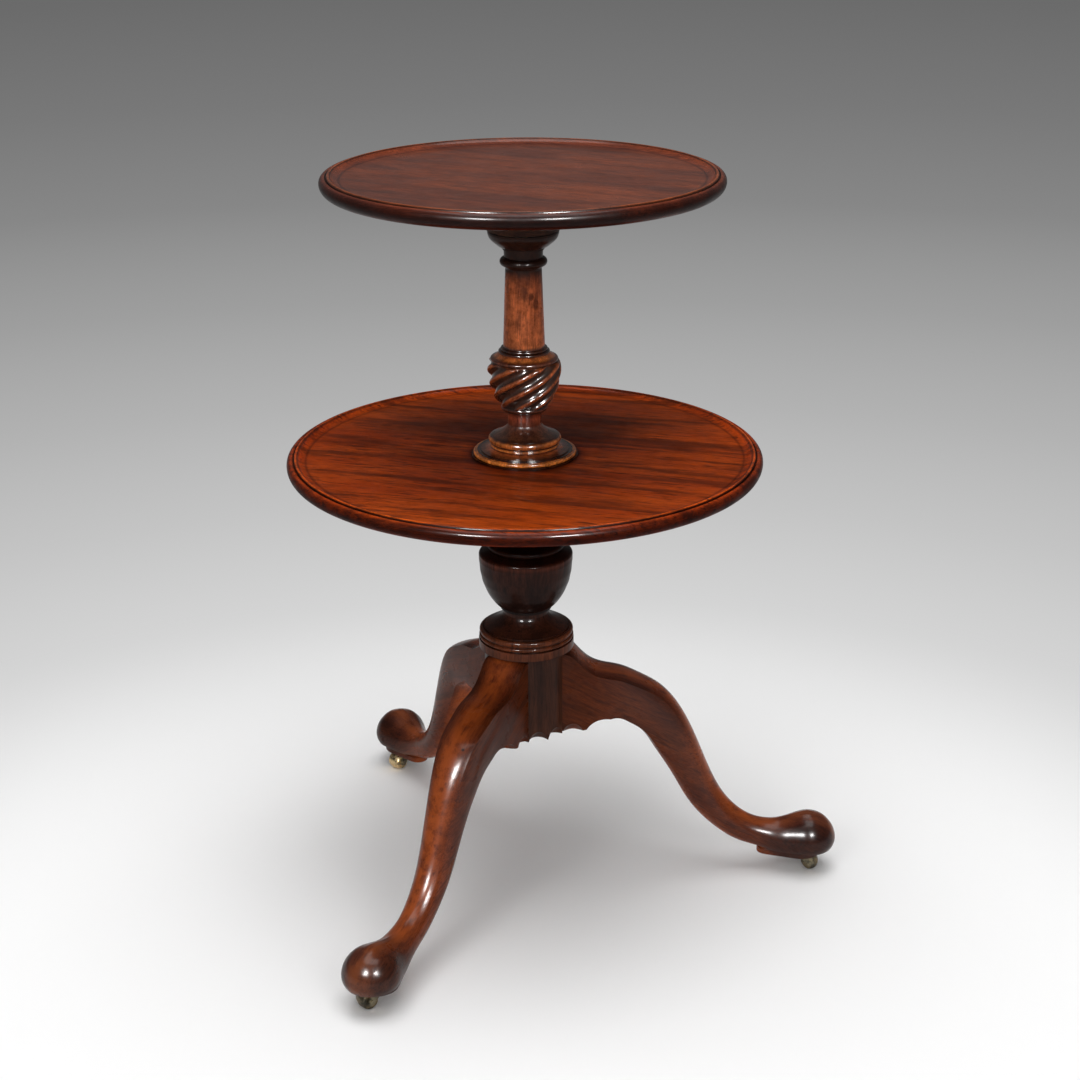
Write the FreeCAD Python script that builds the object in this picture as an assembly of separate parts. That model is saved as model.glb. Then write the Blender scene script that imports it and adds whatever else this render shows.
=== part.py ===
import FreeCAD
import Part
import math
import os

from FreeCAD import Vector

# Two-tier dumbwaiter table in millimetres.
# The origin is on the column's axis at floor level, and +X runs out along the right-hand leg.

# Legs: their names, in the order in which they stand round the axis from +X
LEG_NAMES = ["right", "back_left", "front_left"]
FULL_TURN = 360.0
LEG_ANGLES = {name: FULL_TURN * index / len(LEG_NAMES) for index, name in enumerate(LEG_NAMES)}
HALF_GAP_ANGLE = FULL_TURN / len(LEG_NAMES) / 2

# Clearances and allowances
SEAT_FIT = 0.1
TURN_PLAY = 0.08
AXLE_PLAY = 0.05
LIFT_GAP = 0.3
OVERRUN = 5.0
FUSE_LAP = 0.5

# Casters: roller, axle, horn and plate
ROLLER_R = 11.0
ROLLER_END_R = 9.2
ROLLER_W = 18.0
ROLLER_SIDE_GAP = 0.4
AXLE_R = 2.0
AXLE_HEAD_R = 3.4
AXLE_HEAD_T = 1.2
FORK_ARM_T = 2.2
FORK_EYE_R = 4.6
FORK_TRAIL = 15.0
FORK_EYE_ANGLE = 30.0
FORK_RISE = 10.8
FORK_CROWN_T = 1.8
FORK_CROWN_LENGTH = 15.0
STEM_R = 3.0
STEM_HEAD_R = 5.0
STEM_HEAD_T = 1.6
CASTER_PLATE_R = 15.5
CASTER_PLATE_T = 1.6
CASTER_REACH = 344.0
CASTER_TRAIL_ANGLES = {"right": 0.0, "back_left": 230.0, "front_left": 214.0}

# Woodscrews of the casters
SMALL_SCREW_R = 1.3
SMALL_SCREW_HEAD_R = 2.6
SMALL_SCREW_HEAD_T = 1.4
SMALL_SCREW_LENGTH = 12.0
CASTER_SCREW_RING_R = 11.6
CASTER_SCREW_COUNT = 3
CASTER_SCREW_START_ANGLE = 180.0

# Feet: sole and toe
SOLE_T = 8.0
SOLE_GROOVE_H = 1.2
SOLE_GROOVE_DEPTH = 1.3
SOLE_TOE_R = 26.0
SOLE_HEEL_R = 13.0
SOLE_HEEL_BACK = 42.0
TOE_R = 34.5
TOE_AHEAD = 11.5
TOE_SETBACK = 9.5

# Legs: thickness, knee arch and dovetail
LEG_T = 54.0
LEG_STANCE = 205.0
ARCH_R = 28.0
ARCH_CENTRE_OUT = 54.2
ARCH_CENTRE_DROP = 9.5
LEG_CUSP_OUT = 26.5
DOVETAIL_DEPTH = 13.0
DOVETAIL_ROOT_W = 15.0
DOVETAIL_END_W = 21.0
DOVETAIL_H = 86.0

# Block of the pillar and its gouged lower edge
BLOCK_R = 51.0
BLOCK_H = 109.6
GOUGE_RISE = 13.0

# Pillar, from the collar up to its bearing face: a radius and a height for each turned member
COLLAR_R = 57.8
COLLAR_H = 10.4
COLLAR_GROOVE_R = 55.4
COLLAR_GROOVE_H = 1.2
COLLAR_BEAD_R = 57.5
COLLAR_BEAD_H = 5.0
COLLAR_TORUS_R = 57.0
COLLAR_TORUS_H = 6.6
COLLAR_ARRIS_R = 51.5
COLLAR_ARRIS_H = 2.0
COLLAR_COVE_H = 17.0
URN_NECK_R = 27.3
URN_NECK_H = 6.0
URN_FOOT_R = 31.0
URN_FOOT_H = 2.6
URN_R = 56.5
URN_H = 60.5
URN_LIP_H = 5.2
URN_LIP_TOP_R = 54.1
URN_LIP_ROUND_H = 4.7
URN_DISH_R = 43.0
URN_DISH_H = 4.5
URN_RING_R = 46.4
URN_RING_H = 7.5
PILLAR_COVE_H = 11.0
PILLAR_NECK_R = 24.5
PILLAR_NECK_H = 38.0
PILLAR_CAP_R = 44.0
PILLAR_CAP_H = 22.0
PILLAR_BAND_H = 2.0

# Upper column, from its base disc up to its bearing face
BASE_DISC_R = 62.5
BASE_DISC_H = 1.5
BASE_RING_R = 60.7
BASE_RING_SEAT_R = 57.6
BASE_RING_H = 4.3
BASE_GROOVE_R = 56.2
BASE_GROOVE_H = 1.0
SCOTIA_FOOT_R = 52.2
SCOTIA_FOOT_H = 1.3
SCOTIA_TOP_R = 38.8
SCOTIA_H = 3.9
BASE_BEAD_R = 41.0
BASE_BEAD_H = 2.6
BASE_NECKING_R = 39.2
BASE_NECKING_H = 1.5
BASE_TORUS_R = 42.8
BASE_TORUS_H = 8.0
BASE_ARRIS_R = 39.0
BASE_ARRIS_H = 0.6
BASE_COVE_H = 13.4
BASE_NECK_R = 19.9
BASE_NECK_H = 18.4
VASE_FOOT_R = 27.2
VASE_FOOT_H = 3.5
VASE_R = 43.3
VASE_H = 54.4
VASE_RIM_R = 39.6
VASE_RIM_SEAT_R = 37.6
VASE_RIM_H = 4.6
SHOULDER_R = 30.2
SHOULDER_H = 5.2
LOWER_BEAD_R = 30.0
LOWER_BEAD_SEAT_R = 27.6
LOWER_BEAD_H = 3.0
UPPER_BEAD_R = 27.4
UPPER_BEAD_SEAT_R = 24.9
UPPER_BEAD_H = 3.6
SHAFT_FOOT_R = 24.3
SHAFT_TOP_R = 21.1
SHAFT_H = 91.0
SHAFT_FLARE_R = 22.6
SHAFT_FLARE_H = 4.5
ASTRAGAL_R = 27.4
ASTRAGAL_H = 10.0
CAP_NECK_R = 22.2
CAP_NECK_TOP_R = 22.8
CAP_NECK_H = 9.5
CAP_FILLET_R = 24.2
CAP_FILLET_H = 2.2
CAPITAL_R = 41.0
CAPITAL_H = 16.5
CAPITAL_BAND_H = 2.3

# Wrythen vase: the number of lobes, their depth, their twist and the place of the first hollow in degrees,
# and the crown's share of the two radii that shape a lobe and its hollow
LOBE_COUNT = 8
LOBE_DEPTH = 4.8
LOBE_TWIST = 142.0
LOBE_START_ANGLE = 181.5
LOBE_CROWN_SHARE = 0.3
LOBE_STEP_COUNT = 4

# Spigot under the upper column, pin on top of it
SPIGOT_R = 16.0
SOCKET_DEPTH = 52.0
PIN_R = 10.0
PIN_H = 38.0

# Brass thrust washers
WASHER_R = 38.0
WASHER_T = 1.2

# Tiers: radii, common thickness and rim moulding
LOWER_TIER_R = 280.0
TOP_TIER_R = 229.0
TIER_T = 14.2
RIM_RISE = 6.0
RIM_BELLY_DROP = 3.1
RIM_TOP_IN = 5.4
RIM_TOP_RISE = 4.3
RIM_GROOVE_IN = 8.0
RIM_GROOVE_RISE = 3.1
RIM_CREST_IN = 10.6
RIM_COVE_IN = 12.2
RIM_COVE_RISE = 5.5
RIM_W = 21.5

# Bearing blocks under the tiers and their screws
TIER_BLOCK_R = 72.0
TIER_BLOCK_FOOT_R = 42.0
TIER_BLOCK_COVE_R = 55.0
TIER_BLOCK_FLANGE_T = 10.0
LOWER_BLOCK_H = 21.4
TOP_BLOCK_H = 45.8
BLOCK_SCREW_RING_R = 64.0
BLOCK_SCREW_R = 2.2
BLOCK_SCREW_HEAD_R = 4.2
BLOCK_SCREW_HEAD_T = 2.4
BLOCK_SCREW_LENGTH = 19.0
BLOCK_SCREW_COUNT = 4
BLOCK_SCREW_START_ANGLE = 45.0

# Iron strap under the block
STRAP_T = 2.5
STRAP_HUB_R = 27.0
STRAP_ARM_W = 15.0
STRAP_REACH = 63.0
STRAP_SCREW_REACH = 56.0
STRAP_HUB_SCREW_REACH = 18.0
STRAP_SCREW_R = 1.8
STRAP_SCREW_HEAD_R = 3.5
STRAP_SCREW_HEAD_T = 1.9
STRAP_SCREW_LENGTH = 22.0

# Heights above the floor, from the casters upwards
CROWN_Z = ROLLER_R + FORK_RISE
CASTER_PLATE_Z = CROWN_Z + FORK_CROWN_T + AXLE_PLAY
SOLE_Z = CASTER_PLATE_Z + CASTER_PLATE_T
FOOT_Z = SOLE_Z + SOLE_T
BLOCK_Z = LEG_STANCE
COLLAR_Z = BLOCK_Z + BLOCK_H
LEG_TOP_Z = COLLAR_Z - LIFT_GAP
ROOT_X = math.sqrt(BLOCK_R ** 2 - (LEG_T / 2) ** 2)
TOE_X = CASTER_REACH + TOE_AHEAD

# Leg outline, one row for each station: the upper edge, the under edge, the half thickness, and
# how round the upper and under sides are.
# Places run from the root (0) to the toe (1) and from the top of the sole (0) to the root (1).
LEG_STATION_SHARES = [
    (0.000, 1.000, 0.000, 0.990, 1.000, 0.00, 0.00),
    (0.032, 0.995, 0.031, 0.990, 1.000, 0.00, 0.00),
    (0.067, 0.955, 0.073, 0.995, 1.000, 0.00, 0.00),
    (0.116, 0.904, 0.124, 1.025, 1.000, 0.02, 0.00),
    (0.173, 0.880, 0.172, 1.075, 1.000, 0.05, 0.03),
    (0.227, 0.869, 0.214, 1.096, 1.000, 0.12, 0.10),
    (0.310, 0.834, 0.266, 1.052, 0.998, 0.25, 0.25),
    (0.384, 0.793, 0.309, 0.988, 0.985, 0.42, 0.42),
    (0.451, 0.720, 0.346, 0.890, 0.955, 0.60, 0.60),
    (0.513, 0.600, 0.384, 0.775, 0.900, 0.76, 0.76),
    (0.574, 0.437, 0.446, 0.588, 0.832, 0.90, 0.90),
    (0.641, 0.281, 0.529, 0.332, 0.756, 1.00, 1.00),
    (0.702, 0.197, 0.616, 0.170, 0.700, 1.00, 1.00),
    (0.766, 0.147, 0.706, 0.060, 0.681, 1.00, 0.95),
]

# Ankle: the same columns, with the half thickness as a share of the toe's radius
ANKLE_STATION_SHARES = [
    (0.826, 0.126, 0.795, 0.010, 0.580, 1.00, 0.80),
]

# Toe: the place along the foot, the top's height and the half thickness as a share of the toe's radius
TOE_STATION_SHARES = [
    (0.893, 0.133, 0.745),
    (0.953, 0.152, 0.912),
    (0.980, 0.159, 0.980),
]
TOE_TOP_SHARE = 0.161

# Places along the toe's round end, as shares of its radius
TOE_END_SHARES = [0.0, 0.3, 0.55, 0.75, 0.88, 0.95, 0.985, 0.998]

# Toe's upright outline, and where its crown and its under side begin along that outline
TOE_CURVE_SHARES = [(-0.10, 0.80), (0.0, 0.90), (0.12, 0.975), (0.25, 1.0), (0.42, 0.965), (0.6, 0.865),
                    (0.76, 0.70), (0.89, 0.47), (0.965, 0.24), (1.0, 0.0)]
TOE_WIDEST_SHARE = 0.25
TOE_CROWN_SHARE = 0.68
TOE_UNDER_SHARE = 0.04
TOE_STEP_COUNT = 5
BISECTIONS = 40

# Shares that round a section's corners, from a square corner to a round one
ROUND_CORNER_SHARE = 0.2929
CREST_SHARE = 0.085
HANDLE_SHARE = 0.4477
APEX_SHARE = 0.75

# Curves of the turned members: share of the height, share of the change in radius
URN_CURVE_SHARES = [(0.06, 0.19), (0.14, 0.355), (0.225, 0.494), (0.31, 0.612), (0.40, 0.706),
                    (0.485, 0.784), (0.57, 0.855), (0.655, 0.89), (0.74, 0.937), (0.83, 0.961)]
COLLAR_COVE_CURVE_SHARES = [(0.2, 0.36), (0.45, 0.68), (0.7, 0.89)]
BASE_COVE_CURVE_SHARES = [(0.18, 0.3), (0.42, 0.62), (0.7, 0.87)]
SCOTIA_CURVE_SHARES = [(0.12, 0.42), (0.38, 0.76), (0.7, 0.95)]
PILLAR_COVE_CURVE_SHARES = [(0.2, 0.4), (0.5, 0.76), (0.75, 0.93)]
CAPITAL_CURVE_SHARES = [(0.12, 0.30), (0.26, 0.47), (0.42, 0.66), (0.56, 0.80), (0.70, 0.90), (0.85, 0.96)]
PILLAR_CAP_CURVE_SHARES = [(0.25, 0.12), (0.5, 0.38), (0.7, 0.68), (0.86, 0.90)]
SHOULDER_CURVE_SHARES = [(0.25, 0.36), (0.6, 0.74)]
TIER_BLOCK_CURVE_SHARES = [(0.3, 0.10), (0.6, 0.36), (0.85, 0.74)]
VASE_CURVE_SHARES = [(0.0, 0.625), (0.05, 0.69), (0.13, 0.762), (0.24, 0.83), (0.37, 0.895), (0.50, 0.943),
                     (0.63, 0.976), (0.76, 0.996), (0.87, 1.004), (0.94, 1.0), (0.975, 0.975), (1.0, 0.925)]


class Outline:
    """Half outline of a turned piece, drawn upwards beside the axis."""

    def __init__(self, radius, z):
        self.start = Vector(radius, 0, z)
        self.end = self.start
        self.edges = []

    def line(self, radius, z):
        point = Vector(radius, 0, z)
        if not point.isEqual(self.end, 0):
            self.edges.append(Part.makeLine(self.end, point))
        self.end = point

    def bulge(self, radius, height, end_radius=None):
        """A half-round member that swells to the given radius."""
        top = Vector(self.end.x if end_radius is None else end_radius, 0, self.end.z + height)
        middle = Vector(radius, 0, self.end.z + height / 2)
        self.edges.append(Part.Arc(self.end, middle, top).toShape())
        self.end = top

    def arc(self, middle_radius, middle_z, radius, z):
        top = Vector(radius, 0, z)
        self.edges.append(Part.Arc(self.end, Vector(middle_radius, 0, middle_z), top).toShape())
        self.end = top

    def band(self, radius, height):
        """A step to the given radius, and a plain band of that radius."""
        self.line(radius, self.end.z)
        self.line(radius, self.end.z + height)

    def curve(self, shares, radius, height):
        """A free curve to the given radius through points given as shares of its height and width."""
        foot = self.end
        width = radius - foot.x
        points = [foot]
        for rise, reach in shares:
            points.append(Vector(foot.x + reach * width, 0, foot.z + rise * height))
        points.append(Vector(radius, 0, foot.z + height))
        spline = Part.BSplineCurve()
        spline.interpolate(points)
        self.edges.append(spline.toShape())
        self.end = points[-1]

    def turn(self):
        """The solid that this outline makes when it is turned about the axis."""
        foot = Vector(0, 0, self.start.z)
        head = Vector(0, 0, self.end.z)
        closing = [Part.makeLine(self.end, head), Part.makeLine(head, foot), Part.makeLine(foot, self.start)]
        return turned(self.edges + closing)


def turned(edges):
    face = Part.Face(Part.Wire(edges))
    return Part.Solid(face.revolve(Vector(0, 0, 0), Vector(0, 0, 1), FULL_TURN))


def rod(radius, z, height, x=0.0, y=0.0):
    return Part.makeCylinder(radius, height, Vector(x, y, z))


def turned_about_axis(shape, degrees, x=0.0, y=0.0):
    copy = shape.copy()
    copy.rotate(Vector(x, y, 0), Vector(0, 0, 1), degrees)
    return copy


def polygon_prism(points, height):
    """Upright prism over a closed outline of points at its foot."""
    return Part.Face(Part.makePolygon(points + [points[0]])).extrude(Vector(0, 0, height))


def countersunk_screw(shank_radius, head_radius, head_height, length, x, y, z):
    """Screw driven upwards, its head flush with the face at height z."""
    head = Part.makeCone(head_radius, shank_radius, head_height, Vector(x, y, z))
    return head.fuse(rod(shank_radius, z, length, x, y)).removeSplitter()


def ring_of_places(count, radius, first_angle=0.0):
    places = []
    for index in range(count):
        angle = math.radians(first_angle + FULL_TURN * index / count)
        places.append((radius * math.cos(angle), radius * math.sin(angle)))
    return places


# Gouged lower edge
def gouge_cutter(face_point, outward, half_width):
    """Round gouge that leans at 45 degrees and leaves a scallop of the given half width."""
    radius = (half_width ** 2 + GOUGE_RISE ** 2 / 2) / (math.sqrt(2) * GOUGE_RISE)
    lean = Vector(outward.x, outward.y, 1).normalize()
    centre = Vector(face_point.x, face_point.y, BLOCK_Z + GOUGE_RISE - radius * math.sqrt(2))
    half_length = radius + 2 * GOUGE_RISE
    return Part.makeCylinder(radius, 2 * half_length, centre - lean * half_length, lean)


def leg_side_gouges():
    """Scallops in both sides of a leg's root, in the leg's own frame."""
    half_width = LEG_CUSP_OUT / 2
    cutters = []
    for side in (-1, 1):
        face_point = Vector(ROOT_X + half_width, side * LEG_T / 2, 0)
        cutters.append(gouge_cutter(face_point, Vector(0, side, 0), half_width))
    return cutters


def block_gouges():
    """Two scallops in each strip of the block between two legs."""
    strip_half_angle = HALF_GAP_ANGLE - math.degrees(math.asin(LEG_T / 2 / BLOCK_R))
    half_width = BLOCK_R * math.sin(math.radians(strip_half_angle / 2))
    cutters = []
    for leg_angle in LEG_ANGLES.values():
        for side in (-1, 1):
            angle = math.radians(leg_angle + HALF_GAP_ANGLE + side * strip_half_angle / 2)
            outward = Vector(math.cos(angle), math.sin(angle), 0)
            cutters.append(gouge_cutter(outward * BLOCK_R, outward, half_width))
    return cutters


# Dovetail between a leg and the block
def dovetail(clearance, height):
    """Dovetail key on the leg's root face, widened all round by a clearance."""
    inner_x = ROOT_X - DOVETAIL_DEPTH - clearance
    outer_x = ROOT_X + clearance
    inner_half = DOVETAIL_END_W / 2 + clearance
    outer_half = DOVETAIL_ROOT_W / 2 + clearance
    points = [Vector(inner_x, -inner_half, BLOCK_Z), Vector(outer_x, -outer_half, BLOCK_Z),
              Vector(outer_x, outer_half, BLOCK_Z), Vector(inner_x, inner_half, BLOCK_Z)]
    return polygon_prism(points, height)


# Pillar
def pillar_outline():
    outline = Outline(BLOCK_R, BLOCK_Z)
    outline.line(BLOCK_R, COLLAR_Z)
    outline.band(COLLAR_R, COLLAR_H)
    outline.band(COLLAR_GROOVE_R, COLLAR_GROOVE_H)
    outline.bulge(COLLAR_BEAD_R, COLLAR_BEAD_H)
    outline.band(COLLAR_GROOVE_R, COLLAR_GROOVE_H)
    outline.bulge(COLLAR_TORUS_R, COLLAR_TORUS_H, COLLAR_ARRIS_R)
    outline.band(COLLAR_ARRIS_R, COLLAR_ARRIS_H)
    outline.curve(COLLAR_COVE_CURVE_SHARES, URN_NECK_R, COLLAR_COVE_H)
    outline.band(URN_NECK_R, URN_NECK_H)
    outline.band(URN_FOOT_R, URN_FOOT_H)
    outline.curve(URN_CURVE_SHARES, URN_R, URN_H)
    outline.band(URN_R, URN_LIP_H)
    outline.arc((3 * URN_R + URN_LIP_TOP_R) / 4, outline.end.z + 2 * URN_LIP_ROUND_H / 3,
                URN_LIP_TOP_R, outline.end.z + URN_LIP_ROUND_H)
    outline.line(URN_DISH_R, outline.end.z + URN_DISH_H)
    outline.bulge(URN_RING_R, URN_RING_H)
    outline.curve(PILLAR_COVE_CURVE_SHARES, PILLAR_NECK_R, PILLAR_COVE_H)
    outline.band(PILLAR_NECK_R, PILLAR_NECK_H)
    outline.curve(PILLAR_CAP_CURVE_SHARES, PILLAR_CAP_R, PILLAR_CAP_H)
    outline.band(PILLAR_CAP_R, PILLAR_BAND_H)
    return outline


def block_flat_cutter():
    """What is planed off the block where a leg's root stands against it."""
    width = LEG_T + 2 * OVERRUN
    return Part.makeBox(BLOCK_R, width, BLOCK_H + OVERRUN, Vector(ROOT_X, -width / 2, BLOCK_Z - OVERRUN))


def strap_screw_places():
    arms = [(math.radians(angle), STRAP_SCREW_REACH) for angle in LEG_ANGLES.values()]
    hub = [(math.radians(angle + HALF_GAP_ANGLE), STRAP_HUB_SCREW_REACH) for angle in LEG_ANGLES.values()]
    return [(reach * math.cos(angle), reach * math.sin(angle)) for angle, reach in arms + hub]


def strap_screw(x, y, spread=0.0):
    return countersunk_screw(STRAP_SCREW_R + spread, STRAP_SCREW_HEAD_R + spread, STRAP_SCREW_HEAD_T,
                             STRAP_SCREW_LENGTH + spread, x, y, BLOCK_Z - STRAP_T)


def lower_pillar(outline):
    pillar = outline.turn()
    cutters = block_gouges()
    for angle in LEG_ANGLES.values():
        cutters.append(turned_about_axis(block_flat_cutter(), angle))
        cutters.append(turned_about_axis(dovetail(SEAT_FIT, DOVETAIL_H + SEAT_FIT), angle))
    cutters.append(rod(SPIGOT_R + SEAT_FIT, outline.end.z - SOCKET_DEPTH, SOCKET_DEPTH + OVERRUN))
    for x, y in strap_screw_places():
        cutters.append(strap_screw(x, y, SEAT_FIT))
    # The collar hides the top of the flats, so the flats are cut before it is put back.
    collar = rod(COLLAR_R, COLLAR_Z, COLLAR_H)
    return pillar.cut(cutters).fuse(collar).removeSplitter()


# Legs
def section_edge(start, end, out, rise):
    """A curved side of a section from one corner to the next, swelling outwards by the rise."""
    middle = (start + end) * 0.5
    half_chord = (end - start) * 0.5
    lift = out * (rise / APEX_SHARE)
    handles = [middle - half_chord * HANDLE_SHARE + lift, middle + half_chord * HANDLE_SHARE + lift]
    curve = Part.BezierCurve()
    curve.setPoles([start, handles[0], handles[1], end])
    return curve.toShape()


def leg_section(upper, under, half_width, round_top, round_under):
    """Closed section across a leg between a point of its upper edge and one of its under edge."""
    centre = (upper + under) * 0.5
    rise = (upper - under) * 0.5
    half_depth = rise.Length
    up = rise / half_depth
    across = Vector(0, 1, 0)
    top_side = ROUND_CORNER_SHARE * round_top
    top_crown = CREST_SHARE + (ROUND_CORNER_SHARE - CREST_SHARE) * round_top
    under_side = ROUND_CORNER_SHARE * round_under
    under_crown = CREST_SHARE + (ROUND_CORNER_SHARE - CREST_SHARE) * round_under
    top = up * (half_depth * (1 - top_crown))
    bottom = up * (-half_depth * (1 - under_crown))
    top_out = across * (half_width * (1 - top_side))
    under_out = across * (half_width * (1 - under_side))
    corners = [centre + top - top_out, centre + top + top_out,
               centre + bottom + under_out, centre + bottom - under_out]
    side_rise = half_width * (top_side + under_side) / 2
    edges = [section_edge(corners[0], corners[1], up, half_depth * top_crown),
             section_edge(corners[1], corners[2], across, side_rise),
             section_edge(corners[2], corners[3], up * -1, half_depth * under_crown),
             section_edge(corners[3], corners[0], across * -1, side_rise)]
    return Part.Wire(edges)


def leg_stations(shares, half_width):
    """Sections of one table of stations."""
    sections = []
    for upper_out, upper_up, under_out, under_up, width, round_top, round_under in shares:
        upper = Vector(ROOT_X + upper_out * (TOE_X - ROOT_X), 0, FOOT_Z + upper_up * (LEG_TOP_Z - FOOT_Z))
        under = Vector(ROOT_X + under_out * (TOE_X - ROOT_X), 0, FOOT_Z + under_up * (BLOCK_Z - FOOT_Z))
        sections.append(leg_section(upper, under, width * half_width, round_top, round_under))
    return sections


def toe_meridian():
    """Upright half outline of the toe: its half thickness across and its height upwards."""
    top = TOE_TOP_SHARE * (LEG_TOP_Z - FOOT_Z)
    points = [Vector(reach * TOE_R, 0, rise * top) for rise, reach in TOE_CURVE_SHARES]
    spline = Part.BSplineCurve()
    spline.interpolate(points, InitialTangent=Vector(1, 0, 1), FinalTangent=Vector(-1, 0, 0))
    return spline


def where_as_wide(meridian, width, inside, outside):
    """The place on the outline, between one inside and one outside, where its half thickness is the width."""
    for _ in range(BISECTIONS):
        middle = (inside + outside) / 2
        if meridian.value(middle).x > width:
            inside = middle
        else:
            outside = middle
    return inside


def toe_section(meridian, x, reach, width, height):
    """Section across the toe at a reach from its middle, with its thickness and height scaled."""
    first = meridian.FirstParameter
    last = meridian.LastParameter
    widest = meridian.parameter(Vector(TOE_R, 0, TOE_WIDEST_SHARE * TOE_TOP_SHARE * (LEG_TOP_Z - FOOT_Z)))
    bottom = where_as_wide(meridian, reach, widest, first) if reach > meridian.value(first).x else first
    under = bottom + (widest - bottom) * TOE_UNDER_SHARE
    crown_y = TOE_CROWN_SHARE * math.sqrt(TOE_R ** 2 - reach ** 2)

    def place(parameter, side):
        point = meridian.value(parameter)
        across = math.sqrt(max(point.x ** 2 - reach ** 2, 0.0))
        return Vector(x, side * width * across, FOOT_Z + height * point.z)

    steps = [index / TOE_STEP_COUNT for index in range(TOE_STEP_COUNT + 1)]
    crown = [where_as_wide(meridian, math.hypot(crown_y * step, reach), widest, last) for step in steps]
    side = [crown[-1] + (under - crown[-1]) * step for step in steps]
    crown_points = [place(parameter, -1) for parameter in reversed(crown[1:])]
    crown_points += [place(parameter, 1) for parameter in crown]
    right_points = [place(parameter, 1) for parameter in side]
    left_points = [place(parameter, -1) for parameter in reversed(side)]
    edges = [through_points(crown_points), through_points(right_points),
             Part.makeLine(right_points[-1], left_points[0]), through_points(left_points)]
    return Part.Wire(edges)


def through_points(points):
    spline = Part.BSplineCurve()
    spline.interpolate(points)
    return spline.toShape()


def toe_sections():
    """Sections of the toe, closing in on its tip."""
    meridian = toe_meridian()
    sections = []
    for out, up, width in TOE_STATION_SHARES:
        x = ROOT_X + out * (TOE_X - ROOT_X)
        sections.append(toe_section(meridian, x, 0.0, width, up / TOE_TOP_SHARE))
    for share in TOE_END_SHARES:
        sections.append(toe_section(meridian, TOE_X + share * TOE_R, share * TOE_R, 1.0, 1.0))
    return sections


def sole_outline(inset, z, height):
    """Sole in plan: a round toe, straight sides that draw in, and a rounded heel."""
    toe_x = TOE_X - TOE_SETBACK
    heel_x = toe_x - SOLE_HEEL_BACK
    toe_radius = SOLE_TOE_R - inset
    heel_radius = SOLE_HEEL_R - inset
    lean = math.asin((toe_radius - heel_radius) / (toe_x - heel_x))
    sine = math.sin(lean)
    cosine = math.cos(lean)
    toe_points = [Vector(toe_x - toe_radius * sine, side * toe_radius * cosine, z) for side in (-1, 1)]
    heel_points = [Vector(heel_x - heel_radius * sine, side * heel_radius * cosine, z) for side in (-1, 1)]
    edges = [Part.Arc(toe_points[0], Vector(toe_x + toe_radius, 0, z), toe_points[1]).toShape(),
             Part.makeLine(toe_points[1], heel_points[1]),
             Part.Arc(heel_points[1], Vector(heel_x - heel_radius, 0, z), heel_points[0]).toShape(),
             Part.makeLine(heel_points[0], toe_points[0])]
    return Part.Face(Part.Wire(edges)).extrude(Vector(0, 0, height))


def caster_screw_places():
    x_y = ring_of_places(CASTER_SCREW_COUNT, CASTER_SCREW_RING_R, CASTER_SCREW_START_ANGLE)
    return [(CASTER_REACH + x, y) for x, y in x_y]


def caster_screw(x, y, spread=0.0):
    return countersunk_screw(SMALL_SCREW_R + spread, SMALL_SCREW_HEAD_R + spread, SMALL_SCREW_HEAD_T,
                             SMALL_SCREW_LENGTH + spread, x, y, CASTER_PLATE_Z)


def arch_cutter():
    """Round arch that springs from the cusp under the leg's root."""
    centre = Vector(ROOT_X + ARCH_CENTRE_OUT, -LEG_T, BLOCK_Z - ARCH_CENTRE_DROP)
    return Part.makeCylinder(ARCH_R, 2 * LEG_T, centre, Vector(0, 1, 0))


def root_trimmers():
    """What is sawn off a leg's root to leave it level with the block's underside and clear of the collar."""
    length = ROOT_X + ARCH_CENTRE_OUT
    below = Part.makeBox(length, 2 * LEG_T, BLOCK_H, Vector(0, -LEG_T, BLOCK_Z - BLOCK_H))
    above = Part.makeBox(length, 2 * LEG_T, BLOCK_H, Vector(0, -LEG_T, LEG_TOP_Z))
    return [below, above]


def leg():
    """Cabriole leg along +X: dovetail tongue, knee, shin, toe and sole."""
    sections = leg_stations(LEG_STATION_SHARES, LEG_T / 2)
    sections += leg_stations(ANKLE_STATION_SHARES, TOE_R) + toe_sections()
    limb = Part.makeLoft(sections, True, False)
    limb = limb.fuse(dovetail(0.0, DOVETAIL_H))
    floor = Part.makeBox(4 * TOE_R, 4 * TOE_R, FOOT_Z, Vector(TOE_X - 3 * TOE_R, -2 * TOE_R, 0))
    limb = limb.cut([floor, arch_cutter()] + root_trimmers() + leg_side_gouges())
    sole = sole_outline(0.0, SOLE_Z, SOLE_T - SOLE_GROOVE_H)
    groove = sole_outline(SOLE_GROOVE_DEPTH, FOOT_Z - SOLE_GROOVE_H, SOLE_GROOVE_H + FUSE_LAP)
    limb = limb.fuse([sole, groove])
    pocket = rod(STEM_HEAD_R + SEAT_FIT, SOLE_Z, STEM_HEAD_T + 2 * SEAT_FIT, CASTER_REACH)
    cutters = [pocket] + [caster_screw(x, y, SEAT_FIT) for x, y in caster_screw_places()]
    cutters.append(strap_screw(STRAP_SCREW_REACH, 0.0, SEAT_FIT))
    return limb.cut(cutters).removeSplitter()


# Iron strap under the block
def tripod_plate():
    z = BLOCK_Z - STRAP_T
    plate = rod(STRAP_HUB_R, z, STRAP_T)
    arms = []
    for angle in LEG_ANGLES.values():
        arm = Part.makeBox(STRAP_REACH, STRAP_ARM_W, STRAP_T, Vector(0, -STRAP_ARM_W / 2, z))
        arm = arm.fuse(rod(STRAP_ARM_W / 2, z, STRAP_T, STRAP_REACH))
        arms.append(turned_about_axis(arm, angle))
    cutters = [strap_screw(x, y, SEAT_FIT) for x, y in strap_screw_places()]
    return plate.fuse(arms).cut(cutters).removeSplitter()


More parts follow.
